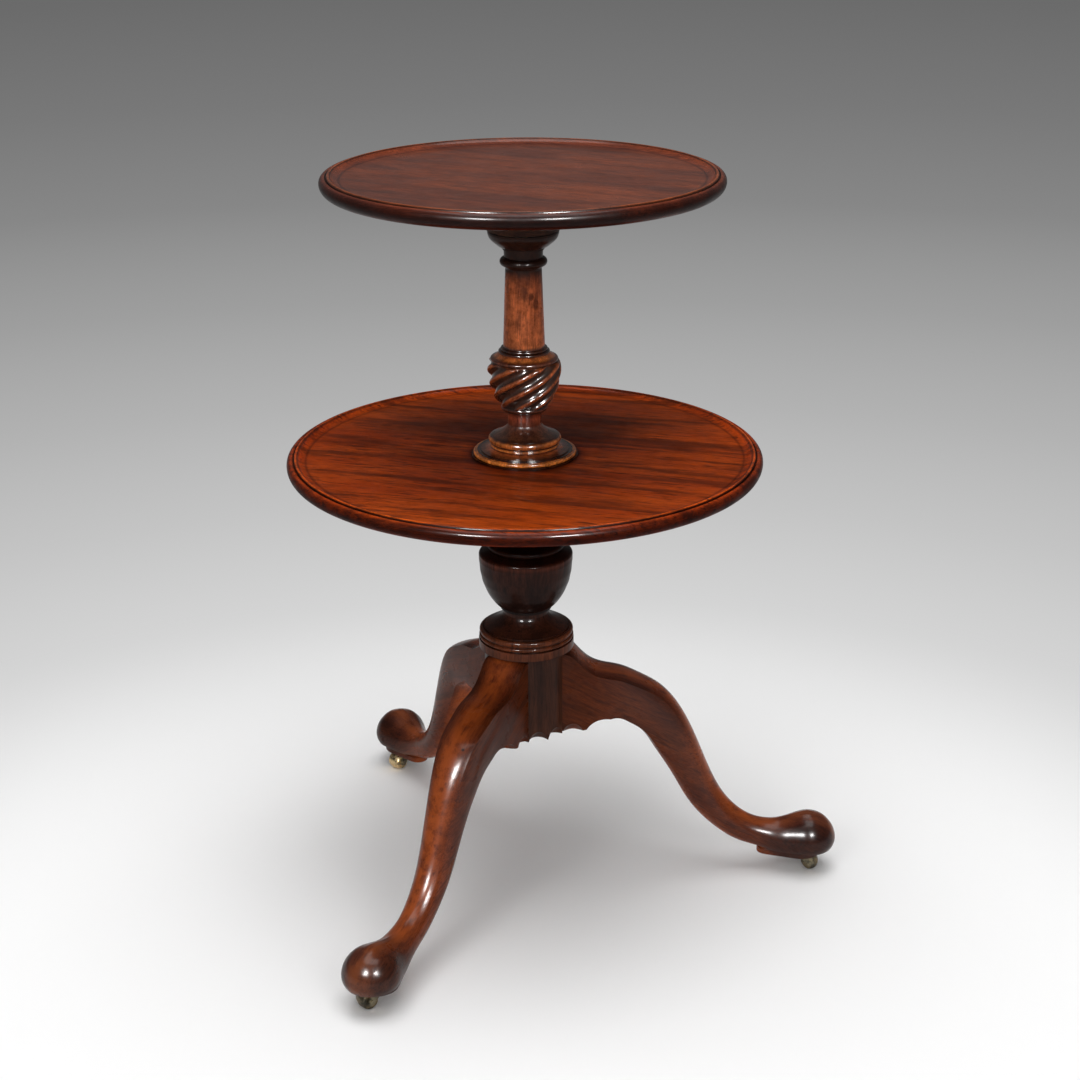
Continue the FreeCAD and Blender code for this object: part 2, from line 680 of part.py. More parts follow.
def tripod_plate_screws():
    return Part.makeCompound([strap_screw(x, y) for x, y in strap_screw_places()])


# Upper column
def column_outline(base_z):
    outline = Outline(BASE_DISC_R, base_z)
    outline.line(BASE_DISC_R, base_z + BASE_DISC_H)
    outline.line(BASE_RING_SEAT_R, outline.end.z)
    outline.bulge(BASE_RING_R, BASE_RING_H)
    outline.band(BASE_GROOVE_R, BASE_GROOVE_H)
    outline.band(SCOTIA_FOOT_R, SCOTIA_FOOT_H)
    outline.curve(SCOTIA_CURVE_SHARES, SCOTIA_TOP_R, SCOTIA_H)
    outline.bulge(BASE_BEAD_R, BASE_BEAD_H)
    outline.band(BASE_NECKING_R, BASE_NECKING_H)
    outline.bulge(BASE_TORUS_R, BASE_TORUS_H)
    outline.band(BASE_ARRIS_R, BASE_ARRIS_H)
    outline.curve(BASE_COVE_CURVE_SHARES, BASE_NECK_R, BASE_COVE_H)
    outline.band(BASE_NECK_R, BASE_NECK_H)
    outline.bulge(VASE_FOOT_R, VASE_FOOT_H)
    outline.line(BASE_NECK_R, outline.end.z + VASE_H)
    outline.line(VASE_RIM_SEAT_R, outline.end.z)
    outline.bulge(VASE_RIM_R, VASE_RIM_H)
    outline.curve(SHOULDER_CURVE_SHARES, SHOULDER_R, SHOULDER_H)
    outline.line(LOWER_BEAD_SEAT_R, outline.end.z)
    outline.bulge(LOWER_BEAD_R, LOWER_BEAD_H)
    outline.line(UPPER_BEAD_SEAT_R, outline.end.z)
    outline.bulge(UPPER_BEAD_R, UPPER_BEAD_H)
    outline.line(SHAFT_FOOT_R, outline.end.z)
    outline.line(SHAFT_TOP_R, outline.end.z + SHAFT_H)
    outline.arc((3 * SHAFT_TOP_R + SHAFT_FLARE_R) / 4, outline.end.z + 2 * SHAFT_FLARE_H / 3,
                SHAFT_FLARE_R, outline.end.z + SHAFT_FLARE_H)
    outline.bulge(ASTRAGAL_R, ASTRAGAL_H)
    outline.line(CAP_NECK_R, outline.end.z)
    outline.line(CAP_NECK_TOP_R, outline.end.z + CAP_NECK_H)
    outline.band(CAP_FILLET_R, CAP_FILLET_H)
    outline.curve(CAPITAL_CURVE_SHARES, CAPITAL_R, CAPITAL_H)
    outline.band(CAPITAL_R, CAPITAL_BAND_H)
    return outline


def vase_base_z(base_z):
    """Height at which the vase's lobes begin."""
    members = (BASE_DISC_H, BASE_RING_H, BASE_GROOVE_H, SCOTIA_FOOT_H, SCOTIA_H, BASE_BEAD_H, BASE_NECKING_H,
               BASE_TORUS_H, BASE_ARRIS_H, BASE_COVE_H, BASE_NECK_H, VASE_FOOT_H)
    return base_z + sum(members)


def lobe_reaches(radius):
    """Distances from the axis at even steps from the middle of a hollow to the crown of a lobe.

    The hollow and the crown are arcs of two circles that touch.
    """
    valley = radius - LOBE_DEPTH
    turn = math.pi / LOBE_COUNT
    hollow_share = 1 - LOBE_CROWN_SHARE
    bend = 2 * LOBE_CROWN_SHARE * hollow_share * (1 - math.cos(turn))
    crown_lean = LOBE_CROWN_SHARE * (radius - valley * math.cos(turn))
    lean = crown_lean - hollow_share * (valley - radius * math.cos(turn))
    chord = math.sqrt(radius ** 2 + valley ** 2 - 2 * radius * valley * math.cos(turn))
    both_radii = (math.sqrt(lean ** 2 + bend * chord ** 2) - lean) / bend
    crown_radius = LOBE_CROWN_SHARE * both_radii
    hollow_radius = hollow_share * both_radii
    crown_centre = radius - crown_radius
    hollow_centre = valley + hollow_radius
    touch = math.atan2(hollow_share * crown_centre * math.sin(turn),
                       hollow_share * crown_centre * math.cos(turn) + LOBE_CROWN_SHARE * hollow_centre)
    reaches = []
    for index in range(LOBE_STEP_COUNT + 1):
        angle = turn * index / LOBE_STEP_COUNT
        if angle < touch:
            offset = math.sqrt(hollow_radius ** 2 - (hollow_centre * math.sin(angle)) ** 2)
            reaches.append(hollow_centre * math.cos(angle) - offset)
        else:
            offset = math.sqrt(crown_radius ** 2 - (crown_centre * math.sin(turn - angle)) ** 2)
            reaches.append(crown_centre * math.cos(turn - angle) + offset)
    return reaches


def lobed_section(radius, z, first_angle):
    """Ring of round lobes that run smoothly into the hollows between them."""
    step = math.pi / LOBE_COUNT / LOBE_STEP_COUNT
    rising = lobe_reaches(radius)
    reaches = rising + rising[-2::-1]
    edges = []
    for lobe in range(LOBE_COUNT):
        start = math.radians(first_angle) + 2 * math.pi * lobe / LOBE_COUNT
        end = start + 2 * math.pi / LOBE_COUNT
        points = [Vector(reach * math.cos(start + index * step), reach * math.sin(start + index * step), z)
                  for index, reach in enumerate(reaches)]
        curve = Part.BSplineCurve()
        curve.interpolate(points, InitialTangent=Vector(-math.sin(start), math.cos(start), 0),
                          FinalTangent=Vector(-math.sin(end), math.cos(end), 0))
        edges.append(curve.toShape())
    return Part.Wire(edges)


def wrythen_vase(base_z):
    """Vase of twisted lobes, sunk a little into the mouldings below and above it.

    Each section is the one below it, grown and turned a little.
    """
    foot_z = base_z - FUSE_LAP
    height = VASE_H + 2 * FUSE_LAP
    sections = []
    for rise, swell in VASE_CURVE_SHARES:
        angle = LOBE_START_ANGLE + LOBE_TWIST * rise
        sections.append(lobed_section(swell * VASE_R, foot_z + rise * height, angle))
    return Part.makeLoft(sections, True, False)


def upper_column(outline, spigot_z):
    column = outline.turn()
    vase = wrythen_vase(vase_base_z(outline.start.z))
    spigot = rod(SPIGOT_R, spigot_z, outline.start.z - spigot_z)
    pin = rod(PIN_R, outline.end.z, PIN_H)
    return column.fuse([vase, spigot, pin]).removeSplitter()


# Tiers
def tier(radius, underside_z, bore_radius=0.0):
    """Dished round top with a moulded rim; a bore radius of zero leaves it whole."""
    field_z = underside_z + TIER_T
    belly_z = field_z - RIM_BELLY_DROP
    belly_radius = belly_z - underside_z
    outline = Outline(radius - belly_radius, underside_z)
    slope = math.sqrt(0.5) * belly_radius
    outline.arc(radius - belly_radius + slope, belly_z - slope, radius, belly_z)
    outline.arc(radius - RIM_TOP_IN / 4, field_z + RIM_TOP_RISE / 3, radius - RIM_TOP_IN, field_z + RIM_TOP_RISE)
    outline.line(radius - RIM_GROOVE_IN, field_z + RIM_GROOVE_RISE)
    outline.arc(radius - RIM_CREST_IN, field_z + RIM_RISE, radius - RIM_COVE_IN, field_z + RIM_COVE_RISE)
    cove_middle = (RIM_COVE_IN + RIM_W) / 2
    outline.arc(radius - cove_middle, field_z + RIM_COVE_RISE / 3, radius - RIM_W, field_z)
    disc = outline.turn()
    if bore_radius > 0:
        disc = disc.cut(rod(bore_radius, underside_z - OVERRUN, TIER_T + 2 * OVERRUN))
    return disc


def block_screw_places():
    return ring_of_places(BLOCK_SCREW_COUNT, BLOCK_SCREW_RING_R, BLOCK_SCREW_START_ANGLE)


def block_screw(x, y, flange_z, spread=0.0):
    return countersunk_screw(BLOCK_SCREW_R + spread, BLOCK_SCREW_HEAD_R + spread, BLOCK_SCREW_HEAD_T,
                             BLOCK_SCREW_LENGTH + spread, x, y, flange_z)


def tier_block(foot_z, height, bore_radius, bore_height):
    """Turned bearing block with a screwed flange under a tier."""
    outline = Outline(TIER_BLOCK_FOOT_R, foot_z)
    outline.curve(TIER_BLOCK_CURVE_SHARES, TIER_BLOCK_COVE_R, height - TIER_BLOCK_FLANGE_T)
    outline.band(TIER_BLOCK_R, TIER_BLOCK_FLANGE_T)
    cutters = [rod(bore_radius, foot_z - OVERRUN, bore_height + OVERRUN)]
    for x, y in block_screw_places():
        cutters.append(block_screw(x, y, foot_z + height - TIER_BLOCK_FLANGE_T, SEAT_FIT))
    return outline.turn().cut(cutters)


def tier_screws(flange_z):
    return Part.makeCompound([block_screw(x, y, flange_z) for x, y in block_screw_places()])


def drill_for_screws(board, flange_z):
    return board.cut([block_screw(x, y, flange_z, SEAT_FIT) for x, y in block_screw_places()])


def washer(bore_radius, z):
    return rod(WASHER_R, z, WASHER_T).cut(rod(bore_radius, z - OVERRUN, WASHER_T + 2 * OVERRUN))


# Casters, in the frame of a leg along +X
def caster_plate():
    plate = rod(CASTER_PLATE_R, CASTER_PLATE_Z, CASTER_PLATE_T, CASTER_REACH)
    cutters = [rod(STEM_R + AXLE_PLAY, CASTER_PLATE_Z - OVERRUN, CASTER_PLATE_T + 2 * OVERRUN, CASTER_REACH)]
    cutters += [caster_screw(x, y, SEAT_FIT) for x, y in caster_screw_places()]
    return plate.cut(cutters)


def caster_screws():
    return Part.makeCompound([caster_screw(x, y) for x, y in caster_screw_places()])


def fork_arm(y):
    """Curved cheek of the horn, from the crown out to the axle's eye."""
    eye = Vector(FORK_TRAIL, y, ROLLER_R)
    front = Vector(FORK_CROWN_LENGTH / 2, y, CROWN_Z)
    back = Vector(-FORK_CROWN_LENGTH / 2, y, CROWN_Z)
    back_top = Vector(back.x, y, CROWN_Z + FORK_CROWN_T)
    front_top = Vector(front.x, y, CROWN_Z + FORK_CROWN_T)
    lean = math.radians(FORK_EYE_ANGLE)
    near_eye = eye + Vector(-math.cos(lean), 0, -math.sin(lean)) * FORK_EYE_R
    far_eye = eye + Vector(math.cos(lean), 0, math.sin(lean)) * FORK_EYE_R
    hollow = (back + near_eye) * 0.5 + Vector(math.sin(lean), 0, math.cos(lean)) * (FORK_EYE_R / 2)
    swell = (front_top + far_eye) * 0.5 + Vector(math.sin(lean), 0, math.cos(lean)) * (FORK_EYE_R / 2)
    edges = [Part.makeLine(front_top, back_top), Part.makeLine(back_top, back),
             Part.Arc(back, hollow, near_eye).toShape(),
             Part.Arc(near_eye, eye + Vector(math.sin(lean), 0, -math.cos(lean)) * FORK_EYE_R, far_eye).toShape(),
             Part.Arc(far_eye, swell, front_top).toShape()]
    return Part.Face(Part.Wire(edges)).extrude(Vector(0, FORK_ARM_T, 0))


def caster_fork():
    """Horn in its own frame, with the swivel axis on Z and its trail along +X."""
    inner = ROLLER_W / 2 + ROLLER_SIDE_GAP
    outer = inner + FORK_ARM_T
    crown = Part.makeBox(FORK_CROWN_LENGTH, 2 * outer, FORK_CROWN_T, Vector(-FORK_CROWN_LENGTH / 2, -outer, CROWN_Z))
    stem = rod(STEM_R, CROWN_Z, SOLE_Z + AXLE_PLAY - CROWN_Z)
    head = rod(STEM_HEAD_R, SOLE_Z + AXLE_PLAY, STEM_HEAD_T)
    fork = crown.fuse([fork_arm(-outer), fork_arm(inner), stem, head])
    bore = Part.makeCylinder(AXLE_R + SEAT_FIT, 2 * outer, Vector(FORK_TRAIL, -outer, ROLLER_R), Vector(0, 1, 0))
    return fork.cut(bore).removeSplitter()


def caster_axle():
    """Axle with a riveted head at each end."""
    half = ROLLER_W / 2 + ROLLER_SIDE_GAP + FORK_ARM_T
    end = half + AXLE_HEAD_T
    across = Vector(0, 1, 0)
    axle = Part.makeCylinder(AXLE_R, 2 * end, Vector(FORK_TRAIL, -end, ROLLER_R), across)
    heads = [Part.makeCylinder(AXLE_HEAD_R, AXLE_HEAD_T, Vector(FORK_TRAIL, y, ROLLER_R), across)
             for y in (-end, half)]
    return axle.fuse(heads).removeSplitter()


def caster_roller():
    """Barrel roller, turned on its own axis and laid across the trail."""
    half = ROLLER_W / 2
    outline = Outline(ROLLER_END_R, -half)
    outline.bulge(ROLLER_R, ROLLER_W)
    barrel = outline.turn().cut(rod(AXLE_R + AXLE_PLAY, -half - OVERRUN, ROLLER_W + 2 * OVERRUN))
    barrel.rotate(Vector(0, 0, 0), Vector(1, 0, 0), FULL_TURN / 4)
    barrel.translate(Vector(FORK_TRAIL, 0, ROLLER_R))
    return barrel


def at_swivel(shape, leg_name):
    """Moves a piece from the horn's frame to its place under a leg."""
    angle = math.radians(LEG_ANGLES[leg_name])
    place = Vector(CASTER_REACH * math.cos(angle), CASTER_REACH * math.sin(angle), 0)
    copy = turned_about_axis(shape, CASTER_TRAIL_ANGLES[leg_name])
    copy.translate(place)
    return copy


# Whole table
def main():
    os.makedirs("parts", exist_ok=True)
    pillar = pillar_outline()
    pillar_top = pillar.end.z
    lower_block_z = pillar_top + WASHER_T
    lower_tier_z = lower_block_z + LOWER_BLOCK_H
    column = column_outline(lower_tier_z + TIER_T + LIFT_GAP)
    column_top = column.end.z
    top_block_z = column_top + WASHER_T
    top_tier_z = top_block_z + TOP_BLOCK_H
    lower_flange_z = lower_tier_z - TIER_BLOCK_FLANGE_T
    top_flange_z = top_tier_z - TIER_BLOCK_FLANGE_T
    bore = SPIGOT_R + TURN_PLAY

    pieces = {
        "lower_pillar": lower_pillar(pillar),
        "tripod_plate": tripod_plate(),
        "tripod_plate_screws": tripod_plate_screws(),
        "lower_washer": washer(SPIGOT_R + LIFT_GAP, pillar_top),
        "lower_tier_block": tier_block(lower_block_z, LOWER_BLOCK_H, bore, LOWER_BLOCK_H + OVERRUN),
        "lower_tier_screws": tier_screws(lower_flange_z),
        "lower_tier": drill_for_screws(tier(LOWER_TIER_R, lower_tier_z, bore), lower_flange_z),
        "upper_column": upper_column(column, pillar_top - SOCKET_DEPTH),
        "upper_washer": washer(PIN_R + LIFT_GAP, column_top),
        "top_tier_block": tier_block(top_block_z, TOP_BLOCK_H, PIN_R + TURN_PLAY, PIN_H - WASHER_T + LIFT_GAP),
        "top_tier_screws": tier_screws(top_flange_z),
        "top_tier": drill_for_screws(tier(TOP_TIER_R, top_tier_z), top_flange_z),
    }
    leg_solid = leg()
    plate = caster_plate()
    screws = caster_screws()
    fork = caster_fork()
    axle = caster_axle()
    roller = caster_roller()
    for name, angle in LEG_ANGLES.items():
        pieces["leg_" + name] = turned_about_axis(leg_solid, angle)
        pieces["caster_" + name + "_plate"] = turned_about_axis(plate, angle)
        pieces["caster_" + name + "_screws"] = turned_about_axis(screws, angle)
        pieces["caster_" + name + "_fork"] = at_swivel(fork, name)
        pieces["caster_" + name + "_axle"] = at_swivel(axle, name)
        pieces["caster_" + name + "_roller"] = at_swivel(roller, name)
    for name, shape in pieces.items():
        if not shape.isValid():
            raise ValueError(name + " is not a valid solid")
        shape.exportStep("parts/" + name + ".step")
        box = shape.BoundBox
        print(name, len(shape.Solids), "solid(s), z", round(box.ZMin, 1), "to", round(box.ZMax, 1))


main()
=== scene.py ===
"""Two-tier dumbwaiter table: its polished wood, its brass casters and the studio that it stands in."""

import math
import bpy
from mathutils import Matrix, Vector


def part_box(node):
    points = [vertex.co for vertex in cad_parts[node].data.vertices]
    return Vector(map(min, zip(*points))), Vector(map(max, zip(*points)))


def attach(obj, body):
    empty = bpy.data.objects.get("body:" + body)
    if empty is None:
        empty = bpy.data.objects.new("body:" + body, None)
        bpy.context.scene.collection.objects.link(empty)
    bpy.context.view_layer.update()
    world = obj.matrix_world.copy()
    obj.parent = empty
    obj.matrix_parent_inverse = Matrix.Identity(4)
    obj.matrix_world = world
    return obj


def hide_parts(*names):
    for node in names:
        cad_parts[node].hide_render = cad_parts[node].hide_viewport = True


bl_info = {
    "name": "Dumbwaiter Table",
    "version": (1, 1, 0),
    "blender": (4, 5, 0),
    "location": "3D View > Sidebar > Dumbwaiter",
    "description": "Finishes the two-tier dumbwaiter table and sets it on a studio floor",
    "category": "Object",
}

import bpy
from bpy.props import FloatProperty, FloatVectorProperty, IntProperty, PointerProperty
from mathutils import Matrix, Vector

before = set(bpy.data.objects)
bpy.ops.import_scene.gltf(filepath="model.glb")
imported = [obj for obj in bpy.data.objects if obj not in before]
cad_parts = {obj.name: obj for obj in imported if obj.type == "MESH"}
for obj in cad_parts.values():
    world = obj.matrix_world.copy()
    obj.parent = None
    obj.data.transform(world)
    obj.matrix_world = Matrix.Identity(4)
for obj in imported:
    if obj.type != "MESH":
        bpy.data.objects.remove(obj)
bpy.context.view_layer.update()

MM = 0.001

# Direction of each leg in degrees
LEG_ANGLES = {"right": 0.0, "back_left": 120.0, "front_left": 240.0}

# Direction of the grain in degrees, and how far it tips down along a leg
LOWER_TIER_GRAIN = -17
TOP_TIER_GRAIN = -28
BLOCK_GRAIN = 20
LEG_GRAIN_TIP = 27

# Vase: foot and height of its lobes in metres, their number, and their start and winding in degrees
VASE_FOOT_Z = 0.6186
VASE_H = 0.0554
VASE_LOBES = 8
VASE_START = 181.5
VASE_TWIST = 142.0

# Radius at which each tier's outline starts. The top tier has no bore, and its small middle is filled
LOWER_TIER_BORE = 0.0165
TOP_TIER_MIDDLE = 0.001

# Rim moulding: shares of the rim's width in from the edge, and of its rise up from the field
RIM_NOSE = ((0.063, 0.239), (0.251, 0.717))
RIM_GROOVE = ((0.330, 0.590), (0.358, 0.470), (0.378, 0.470), (0.392, 0.640))
RIM_CREST = ((0.493, 0.998), (0.558, 0.930))
RIM_STEP = ((0.572, 0.830), (0.590, 0.820))
RIM_COVE = ((0.784, 0.290), (1.0, 0.0))

# Steps of the rim's arcs, and the angle under which a turned surface is smooth, in degrees
BULLNOSE_STEPS = 10
BEAD_STEPS = 7
COVE_STEPS = 9
SMOOTH_ANGLE = 24

# Weight of the clear polish on the fields and rims of the tiers and on the legs
LOWER_FIELD_COAT = 0.0
TOP_FIELD_COAT = 0.38
RIM_COAT = 0.22
LEG_COAT = 0.32
BACK_LEG_COAT = 0.16
LEG_ROOT_COAT = 0.04

# Where a tier's polish changes: shares of the rim's width in from the edge, and of the board's height
RIM_POLISH = (0.75, 0.60)
FIELD_POLISH = (0.78, 1.05)
BELLY_SHARE = 0.72

# Heights in metres between which the column's polish changes, and over which its painted shadow under the
# capital sets in
FOOT_POLISH = (0.560, 0.566)
STEM_POLISH = (0.690, 0.694)
CAPITAL_PAINTED_SHADOW = (0.762, 0.784)

# Distances in metres from the column's axis, and from a leg's middle line, between which the leg's
# polish, its painted light along the middle and its painted shade at the edges change
LEG_POLISH = (0.07, 0.15)
LEG_LIT_MIDDLE = (0.004, 0.020)
LEG_SHADED_EDGE = (0.012, 0.026)

# Tints that multiply the wood's colour; the grey-blue one paints a sheen
PLAIN = (1.0, 1.0, 1.0)
DARK = (0.10, 0.09, 0.10)
PAINTED_SHEEN = (0.34, 0.38, 0.60)
GOLDEN = (1.80, 2.00, 1.10)

# Tints of a rim by millimetres in from the edge: cove, line, crest, groove and bullnose. The lighter cove
# and crest are painted highlight, the darker bullnose painted shade, and the line and groove are darkened
RIM_TINTS = (
    (24.5, PLAIN), (22.5, (0.40, 0.38, 0.50)), (20.5, (0.95, 0.90, 0.95)),
    (15.0, (1.35, 1.15, 0.95)), (13.4, (1.20, 1.05, 0.95)), (12.9, DARK), (12.2, DARK),
    (11.7, (1.60, 1.60, 1.30)), (9.4, (1.80, 1.90, 1.50)), (8.8, DARK), (7.1, DARK),
    (6.4, (1.15, 1.05, 0.95)), (4.0, (0.90, 0.76, 0.80)), (2.6, (0.40, 0.33, 0.36)),
    (0.0, (0.20, 0.16, 0.18)),
)

# Radius of the column's foot in millimetres, and tints of the painted shade round it by millimetres out
# from it
COLUMN_FOOT = 62.5
FOOT_SHADE = (
    (0.0, (0.16, 0.13, 0.13)), (1.5, (0.30, 0.24, 0.24)), (5.0, (0.70, 0.64, 0.66)), (14.0, PLAIN),
)

# Tints of the column by millimetres over the floor: foot mouldings, stem, vase collars and capital
# The grey-blue tints on the foot's cove and neck are painted sheen, and the darker top of the stem is
# painted shadow of the top tier
COLUMN_TINTS = (
    (559.0, DARK), (560.7, DARK), (561.2, GOLDEN), (564.6, GOLDEN), (565.1, DARK), (567.2, DARK),
    (568.6, (0.95, 0.85, 0.7)), (570.6, DARK), (571.6, (1.4, 1.5, 0.9)), (573.4, (1.4, 1.5, 0.9)),
    (574.0, DARK), (575.4, DARK), (577.0, (1.1, 1.1, 0.8)), (581.0, (1.5, 1.6, 0.9)), (583.2, DARK),
    (586.0, (0.24, 0.30, 0.40)), (597.0, (0.36, 0.40, 0.60)), (606.0, (0.75, 0.62, 0.85)),
    (615.4, DARK), (617.4, PAINTED_SHEEN), (619.2, DARK), (622.0, (0.75, 0.70, 0.70)),
    (672.0, (0.95, 0.9, 0.8)), (674.0, DARK), (676.0, PAINTED_SHEEN), (678.5, (0.25, 0.22, 0.25)),
    (680.0, (1.15, 1.25, 0.9)), (683.2, (0.9, 0.85, 0.8)), (684.2, DARK),
    (690.6, (0.14, 0.14, 0.18)), (694.0, PLAIN), (765.0, (0.75, 0.70, 0.75)),
)

# Tints of the pillar by millimetres over the floor: block, collar rings, urn and neck
# The urn's darker top, from 437 mm up, is painted shadow of the lower tier, and the lighter collar rings
# are partly painted highlight
PILLAR_TINTS = (
    (200.0, (0.9, 0.9, 0.9)), (312.0, (0.8, 0.8, 0.8)), (314.2, DARK), (315.6, (1.5, 1.25, 1.0)),
    (324.4, (1.7, 1.35, 1.0)), (325.4, DARK), (327.0, (1.8, 1.45, 1.1)), (330.8, (1.9, 1.5, 1.1)),
    (331.8, DARK), (333.0, (1.9, 1.5, 1.1)), (338.6, (2.0, 1.6, 1.1)), (339.8, (0.6, 0.5, 0.5)),
    (342.0, (0.9, 0.8, 0.8)), (362.0, (0.7, 0.6, 0.6)), (364.5, DARK), (367.5, (0.25, 0.28, 0.38)),
    (400.0, (0.30, 0.32, 0.42)), (428.0, (0.5, 0.42, 0.45)), (432.0, (1.1, 0.8, 0.7)),
    (437.0, (0.4, 0.35, 0.4)), (450.0, (0.25, 0.2, 0.2)), (525.0, (0.25, 0.2, 0.2)),
)

# Tints of a leg by millimetres out from the column's axis
# The toes' greyer tint paints a sheen on them
LEG_TINTS = (
    (30.0, (0.70, 0.70, 0.72)), (58.0, (1.10, 1.02, 0.90)), (105.0, (1.25, 1.15, 1.0)),
    (290.0, (1.0, 0.95, 0.95)), (322.0, (0.62, 0.68, 1.0)), (390.0, (0.50, 0.62, 1.05)),
)

# Spots on the wood: centre and half sizes in metres, raggedness and fading
# On the lower tier: a small old stain, and two painted shadows that the column casts on the tier behind
# it
TIER_STAINS_AND_SHADOWS = (
    ((-0.17, 0.115, 0.559), (0.005, 0.004, 0.02), 0.3, 0.7),
    ((0.055, 0.10, 0.559), (0.050, 0.034, 0.02), 1.0, 1.5),
    ((-0.09, 0.11, 0.559), (0.05, 0.018, 0.02), 1.4, 1.4),
)
# Painted shadow of the top tier over the lower tier's back half
TIER_PAINTED_SHADOW = (((0.0, 0.14, 0.559), (0.16, 0.055, 0.05), 0.9, 1.1),)
COLUMN_KNOTS = (
    ((0.0135, -0.018, 0.744), (0.0022, 0.006, 0.0042), 0.7, 0.9),
    ((0.0085, -0.021, 0.753), (0.0020, 0.006, 0.0030), 0.9, 0.9),
    ((0.0000, -0.022, 0.758), (0.0030, 0.006, 0.0050), 1.4, 1.2),
)
KNEE_PLUG = (((-0.0748, -0.1548, 0.2476), (0.0016, 0.0016, 0.0016), 0.3, 0.4),)

# Colours of old stains and of the painted shadows on the lower tier, of the vase's hollows, which is old
# wax and dust with painted shade and grey sheen, and of the painted shadow under the capital
STAIN_AND_SHADOW_COLOUR = (0.01, 0.004, 0.002)
TIER_SHADOW_COLOUR = (0.045, 0.013, 0.006)
HOLLOW_DUST_AND_SHEEN_COLOUR = (0.024, 0.0165, 0.0130)
CAPITAL_SHADOW_COLOUR = (0.010, 0.0055, 0.0045)

# Studio sweep in metres: floor, rise of the backdrop and the round between them
SWEEP_WIDTH = 60.0
SWEEP_DEPTH = 40.0
SWEEP_FORWARD = 14.0
SWEEP_RISE = 7.0
SWEEP_ROUND = 2.0
SWEEP_ROUND_STEPS = 24

# Greys with which the sweep glows far from the table, a painted falloff of light, by their reach in
# metres
SWEEP_REACH = 16.0
SWEEP_GREYS = (
    (0.0, 0.92), (0.65, 0.80), (0.85, 0.76), (1.25, 0.66), (1.74, 0.552), (2.4, 0.445), (3.3, 0.342),
    (4.6, 0.242), (6.15, 0.188), (7.9, 0.147), (10.0, 0.127), (16.0, 0.127),
)

# Their middle in front of the column, what a metre up counts for, and where the lit floor ends
GREY_FORWARD, GREY_CLIMB, FLOOR_END = 0.35, 4.0, (0.62, 1.3)

# Lamps: places, widths and the place that they are aimed at, in metres
KEY_PLACES = {"key_left": (-1.30, -2.37, 1.95), "key_right": (1.10, -2.47, 1.95)}
KEY_WIDTH = 1.2
GLINT_PLACES = {"glint_left": (-1.06, -2.42, 1.75), "glint_right": (0.80, -2.42, 1.75)}
GLINT_WIDTH = 0.60
TOP_PLACE = (0.0, -0.45, 5.5)
TOP_WIDTH = 4.2
LAMP_AIM = (0.0, 0.0, 0.45)

# Camera: width of its sensor in millimetres, and how far it sees in metres
SENSOR_WIDTH = 36.0
SIGHT = 80.0


# Settings
def colour_property(name, description, default):
    return FloatVectorProperty(name=name, description=description, default=default, size=3,
                               min=0.0, max=1.0, subtype="COLOR")


def share_property(name, description, default):
    return FloatProperty(name=name, description=description, default=default, min=0.0, max=1.0,
                         subtype="FACTOR")


def length_property(name, description, default):
    return FloatProperty(name=name, description=description, default=default, unit="LENGTH",
                         precision=5)


def angle_property(name, description, degrees):
    return FloatProperty(name=name, description=description, default=math.radians(degrees),
                         subtype="ANGLE")


def power_property(name, description, default):
    return FloatProperty(name=name, description=description, default=default, subtype="POWER")


class TierFinish(bpy.types.PropertyGroup):
    """Shape of the tiers' rims and polish of the tiers"""
    board: length_property("Board", "Thickness of a tier inside its rim", 0.0142)
    belly_drop: length_property("Belly drop", "How far the widest place lies under the field", 0.0031)
    rim_rise: length_property("Rim rise", "Height of the rim's crest over the field", 0.0060)
    rim_width: length_property("Rim width", "Width of the rim from its edge to the field", 0.0215)
    turn_steps: IntProperty(name="Turn steps", description="Number of steps round a turned tier",
                            default=224, min=32)
    lower_light: colour_property("Lower light grain", "Lightest grain of the lower tier",
                                 (0.430, 0.0620, 0.0038))
    lower_middle: colour_property("Lower grain", "Main colour of the lower tier",
                                  (0.290, 0.0335, 0.0022))
    lower_dark: colour_property("Lower dark grain", "Dark streaks of the lower tier",
                                (0.028, 0.0058, 0.0022))
    top_light: colour_property("Top light grain", "Lightest grain of the top tier",
                               (0.21, 0.046, 0.015))
    top_middle: colour_property("Top grain", "Main colour of the top tier", (0.098, 0.024, 0.0125))
    top_dark: colour_property("Top dark grain", "Dark streaks of the top tier", (0.042, 0.013, 0.0090))
    lower_roughness: share_property("Lower roughness", "Roughness of the lower tier's polish", 0.42)
    top_roughness: share_property("Top roughness", "Roughness of the top tier's polish", 0.34)


